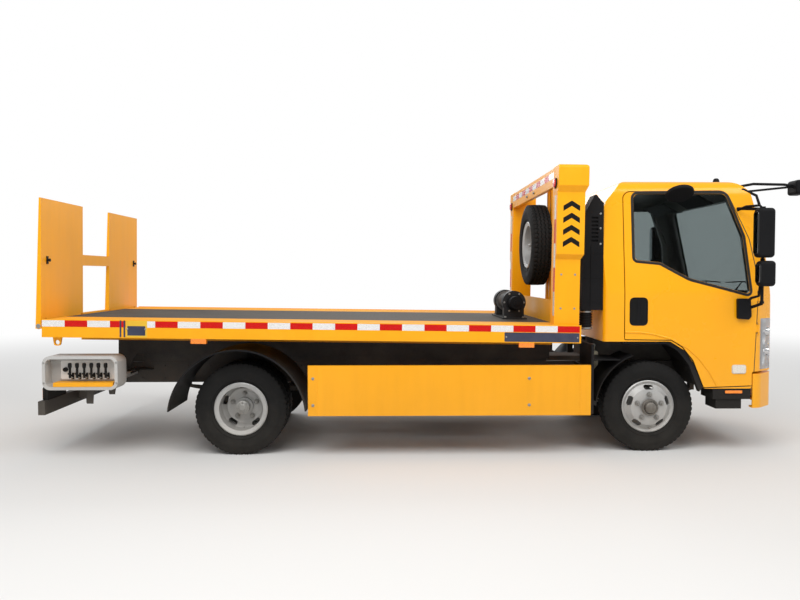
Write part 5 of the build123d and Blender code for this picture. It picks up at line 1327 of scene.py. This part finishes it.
class TOW_OT_underbody(Operator):
    """Fit the springs' clamps, dampers, tail lamps, hoses, rail bolts, tank straps and bottle cap"""
    bl_idname = "tow.underbody"
    bl_label = "Underbody"

    def execute(self, context):
        form = Form()
        for axle, y, z, reach, leaf in ((FRONT_AXLE[0], 375, 395, 72, (340, 110)),
                                        (REAR_AXLE[0], 430, 505, 86, (435, 60))):
            for x in (axle - 44, axle + 44):
                foot = z - reach - 18
                bow = ((-36, foot), (-36, z), (0, z + 6), (36, z), (36, foot))
                form.tube([(x, y + aside, height) for aside, height in bow], 6, 8)
                for side in (-36, 36):
                    form.bolt((x, y + side, z - reach - 4), "-z", 20, 14)
            base = leaf[0] + (320 / 560) ** 2 * leaf[1]
            for x in (axle - 320, axle + 320):
                form.box((x - 13, x + 13), (y - 33, y + 33), (base - 8, base + 44))
        form.mirrored().piece("spring_clamps", "chassis", ["chassis_black"], "chassis_black", bevel=1.5)
        form = Form()
        for x, y, top, foot in ((FRONT_AXLE[0] + 150, 300, 560, 350), (REAR_AXLE[0] + 190, 270, 600, 380)):
            start, end = Vector((x, y, foot)), Vector((x + 60, y, top))
            form.paint(0).tube([start, start.lerp(end, 0.55)], 22, 20)
            form.paint(1).tube([start.lerp(end, 0.5), end], 29, 20)
        form.mirrored().piece("dampers", "chassis", ["rod_chrome", "chassis_black"], "chassis_black", bevel=1)
        rear = REAR_BAR_X
        form = Form()
        for y0, y1, kind in ((-926, -830, 1), (-826, -730, 2), (-726, -604, 3)):
            form.paint(kind).prism(pad((y0 + 4, y1 - 4), (468, 552), 8), "x", rear, rear + 7)
        form.paint(0).prism(pad((-934, -596), (460.6, 562), 12), "x", rear + 7, rear + 25)
        form.box((rear + 25, rear + 48), (-930, -600), (REAR_BAR_TOP, 560))
        finishes = ["moulded_black", "amber_lens", "red_lens", "lamp_glass"]
        form.mirrored().piece("tail_lenses", "chassis", finishes, "red_lens", bevel=1.5,
                              replaces=["tail_lamps"])
        form = Form()
        for x, z in ((-2720, 640), (-2690, 655), (-2660, 640)):
            form.tube([(x, 905, z), (x + 10, 820, z - 12), (x + 60, 640, z - 40), (x + 170, 470, z + 10),
                       (x + 260, 384, 640)], 9, 10)
        form.mirrored().piece("control_hoses", "chassis", ["seal_rubber"], "black_plastic")
        form = Form()
        for x in range(-2500, 2700, 200):
            for z in (556, 664):
                form.bolt((x, -RAIL_Y, z), "-y", 15, 9)
        form.mirrored().piece("rail_bolts", "chassis", ["chassis_black"], "chassis_black")
        form = Form()
        form.turned([(0.01, 0), (42, 0), (44, 4), (44, 22), (38, 28), (0.01, 29)], "z", (440, 640, 719), 32)
        form.paint(1)
        strap = pad((414, 816), (379, 721), 51, 6)
        out = [(0, y - 615, z - 550) for y, z in strap]
        for x in (55, 405):
            form.ribbon([(x, y, z) for y, z in strap], out, 44, 3, loop=True)
        form.piece("tank_fittings", "chassis", ["moulded_black", "zinc"], "tank_steel", bevel=0.6)
        form = Form()
        cap = [(27, 0), (30, 0), (30, 18), (26, 22), (0.01, 22), (0.01, 4), (27, 4)]
        form.turned(cap, "z", (1450, -505, 846), 24, closed=True)
        form.piece("bottle_cap", "chassis", ["white_plastic"], "clear_plastic", bevel=1)
        return {"FINISHED"}


class TOW_OT_cabin(Operator):
    """Fit out the cabin: instruments, gear lever, pedals, belts, visors and door linings"""
    bl_idname = "tow.cabin"
    bl_label = "Cabin"

    def execute(self, context):
        dash = CAB_FRONT - 420
        form = Form()
        hood = ((-6, 1250), (16, 1352), (60, 1384), (170, 1372), (190, 1316), (50, 1320))
        form.prism(rounded([(dash + a, z) for a, z in hood], 12), "y", 215, 585)
        form.prism(pad((-150, 150), (1130, 1290), 14), "x", dash - 8, dash + 8)
        vent = [(30, -6), (42, -6), (44, 0), (42, 6), (30, 6)]
        for y in (-700, -330, 260, 700):
            form.turned(vent, "x", (dash - 2, y, 1215), 24, closed=True)
            for z in (1199, 1213, 1227):
                form.box((dash - 6, dash + 4), (y - 30, y + 30), (z, z + 4))
        form.prism(pad((-760, -280), (1060, 1170), 16), "x", dash - 5, dash + 4)
        form.piece("dash_fittings", "cab", ["dash_plastic"], "dash_plastic", bevel=3)
        form = Form()
        form.tube([(2310, 60, 970), (2300, 58, 1120), (2282, 52, 1268)], [14, 11, 10])
        form.turned([(0.01, -24), (17, -20), (25, 0), (22, 18), (0.01, 26)], "z", (2280, 52, 1286), 24)
        boot = [(70 - 8 * i + (5 if i % 2 else 0), 8 * i) for i in range(8)]
        form.turned([(0.01, 0), *boot, (0.01, 60)], "z", (2310, 60, 968), 28)
        for y in (290, 400, 520):
            form.tube([(2560, y, 1190), (2520, y, 1090), (2455, y, 1045)], 8)
            form.prism(pad((y - 32, y + 32), (1012, 1086), 10), "x", 2440, 2452)
        form.piece("controls", "cab", ["dash_plastic"], "dash_plastic", bevel=2)
        form = Form()
        form.ribbon([(1500, -800, 1900), (1535, -790, 1500), (1600, -745, 1220), (1640, -700, 1010)],
                    UPRIGHT_FRONT, 46, 2)
        form.box((1484, 1516), (-842, -790), (1880, 1930))
        form.mirrored().piece("belts", "cab", ["seal_rubber"], "seat_fabric", bevel=0.5)
        form = Form()
        sheet = rounded([(2300, 2148), (2314, 2150), (2440, 2080), (2432, 2066)], 5)
        form.prism(sheet, "y", 140, 640).prism(sheet, "y", -640, -140)
        form.box((2300, 2420), (-60, 60), (2050, 2058))
        form.piece("visors", "cab", ["dash_plastic"], "dash_plastic", bevel=3)
        lining = rounded([(1640, 1000), (2560, 1000), (2590, 1270), (2130, 1400), (1900, 1520), (1660, 1530)],
                         30)
        pocket = pad((2140, 2500), (1110, 1180), 14)
        for side, sign in SIDES:
            form = Form()
            y = sign * (CAB_HALF - 42.6)
            form.prism(lining, "y", y, y - sign * 14)
            form.tube([(x, y - sign * inward, z) for x, inward, z in
                       ((1900, 16, 1330), (1915, 62, 1335), (2080, 62, 1300), (2095, 16, 1290))], 12)
            form.prism(pocket, "y", y - sign * 12, y - sign * 30)
            form.piece(f"door_lining_{side}", f"door_{side}", ["dash_plastic"], "dash_plastic", bevel=4)
        return {"FINISHED"}


class TOW_OT_seats(Operator):
    """Pad the seats"""
    bl_idname = "tow.seats"
    bl_label = "Seats"

    def execute(self, context):
        low, high = cad_box("seats")
        swell = context.scene.tow_trim.seat_swell / MM
        for name, y, seams in (("driver", (130.0, 620.0), (-0.55, 0.55)),
                               ("bench", (-640.0, 60.0), (-0.8, 0.0, 0.8))):
            cushion(f"{name}_seat_cushion", (low.x + 124, low.x + 604), y, (low.z + 4, 1176), swell, seams,
                    replaces=["seats"])
            cushion(f"{name}_seat_back", (low.x + 14, low.x + 110), y, (1190, high.z - 8), swell, seams,
                    tilt=math.radians(-1.5))
        return {"FINISHED"}


class TOW_OT_studio(Operator):
    """Set the floor, the lamps and the camera"""
    bl_idname = "tow.studio"
    bl_label = "Studio"

    def stand(self, name, data, place, turn=(0, 0, 0)):
        """A thing of the studio, put in its place."""
        made = bpy.data.objects.new(name, data)
        made.location = place
        made.rotation_euler = turn
        bpy.context.scene.collection.objects.link(made)
        return made

    def execute(self, context):
        settings, scene = context.scene.tow_studio, context.scene
        mesh = bpy.data.meshes.new("studio_floor")
        reach = 60.0
        mesh.from_pydata([(-reach, -reach, 0), (reach, -reach, 0), (reach, reach, 0), (-reach, reach, 0)], [],
                         [(0, 1, 2, 3)])
        floor = self.stand("studio_floor", mesh, (0, 0, 0))
        net = Finish("floor_paint")
        grain = net.put("TexNoise", {"Scale": 3.0, "Detail": 3.0}).outputs["Fac"]
        away = net.put("VectorMath", {0: net.place()}, operation="LENGTH").outputs["Value"]
        far = net.put("MapRange", {"Value": away, "From Min": 3.5, "From Max": 15.0},
                      interpolation_type="SMOOTHSTEP").outputs["Result"]
        pale = net.mix(grain, *shades(settings.floor, 0.98, 1.02))
        black, white = (0.0, 0.0, 0.0), (1.0, 1.0, 1.0)
        net.set(Base_Color=net.mix(far, pale, black), Emission_Color=net.mix(far, black, white),
                Emission_Strength=1.0, Roughness=1.0, Specular_IOR_Level=0.0)
        mesh.materials.append(FINISHES["floor_paint"])
        scene.world = bpy.data.worlds.new("studio_world")
        scene.world.use_nodes = True
        net = Net(scene.world.node_tree)
        net.tree.nodes.clear()
        light = net.put("Background", {"Color": (0.95, 0.97, 1.0), "Strength": 0.55})
        backdrop = net.put("Background", {"Color": white, "Strength": 1.0})
        rays = net.put("LightPath").outputs
        seen = net.math("ADD", rays["Is Camera Ray"], rays["Is Transmission Ray"], clamp=True)
        choice = net.put("MixShader", {0: seen, 1: light.outputs[0], 2: backdrop.outputs[0]})
        net.put("OutputWorld", {0: choice.outputs[0]})
        for name, place, size, share in (("studio_key", (-2.0, -6.0, 7.5), 6.0, 1.0),
                                         ("studio_fill", (5.5, -5.0, 6.5), 4.0, 0.42),
                                         ("studio_back", (0.0, 7.0, 6.0), 6.0, 0.6)):
            lamp = bpy.data.lights.new(name, "AREA")
            lamp.energy = settings.key_power * share
            lamp.size = size
            toward = Vector((0, 0, 1.0)) - Vector(place)
            self.stand(name, lamp, place, toward.to_track_quat("-Z", "Y").to_euler())
        data = bpy.data.cameras.new("studio_camera")
        data.lens = settings.lens
        data.sensor_width = 36
        scene.camera = self.stand("studio_camera", data, (-0.335, -6.73, 1.475),
                                  (math.radians(90 - 2.07), 0, math.radians(-1.0)))
        scene.view_settings.view_transform = "Standard"
        return {"FINISHED"}


OPERATORS = (TOW_OT_finishes, TOW_OT_tyres, TOW_OT_wheel_nuts, TOW_OT_tapes, TOW_OT_headboard_trim,
             TOW_OT_plates, TOW_OT_seals, TOW_OT_door_trim, TOW_OT_cab_trim, TOW_OT_intake_trim,
             TOW_OT_side_trim, TOW_OT_ramp_trim, TOW_OT_winch_trim, TOW_OT_underbody, TOW_OT_cabin,
             TOW_OT_seats, TOW_OT_studio)
STEPS = [made.bl_idname.split(".")[1] for made in OPERATORS]


class TOW_PT_panel(Panel):
    """Lists the buttons of the steps that build the truck's pieces"""
    bl_idname = "TOW_PT_panel"
    bl_label = "Tow Truck"
    bl_space_type = "VIEW_3D"
    bl_region_type = "UI"
    bl_category = "Tow Truck"

    def draw(self, context):
        for step in STEPS:
            self.layout.operator(f"tow.{step}")


GROUPS = (("tow_colours", TowColours), ("tow_wheels", TowWheelSizes), ("tow_trim", TowTrimSizes),
          ("tow_studio", TowStudio))
CLASSES = (TowColours, TowWheelSizes, TowTrimSizes, TowStudio, *OPERATORS, TOW_PT_panel)


def register():
    for made in CLASSES:
        bpy.utils.register_class(made)
    for name, group in GROUPS:
        setattr(bpy.types.Scene, name, PointerProperty(type=group))


def unregister():
    for name, _ in GROUPS:
        delattr(bpy.types.Scene, name)
    for made in reversed(CLASSES):
        bpy.utils.unregister_class(made)


def main():
    register()
    for step in STEPS:
        getattr(bpy.ops.tow, step)()


if __name__ == "__main__":
    main()
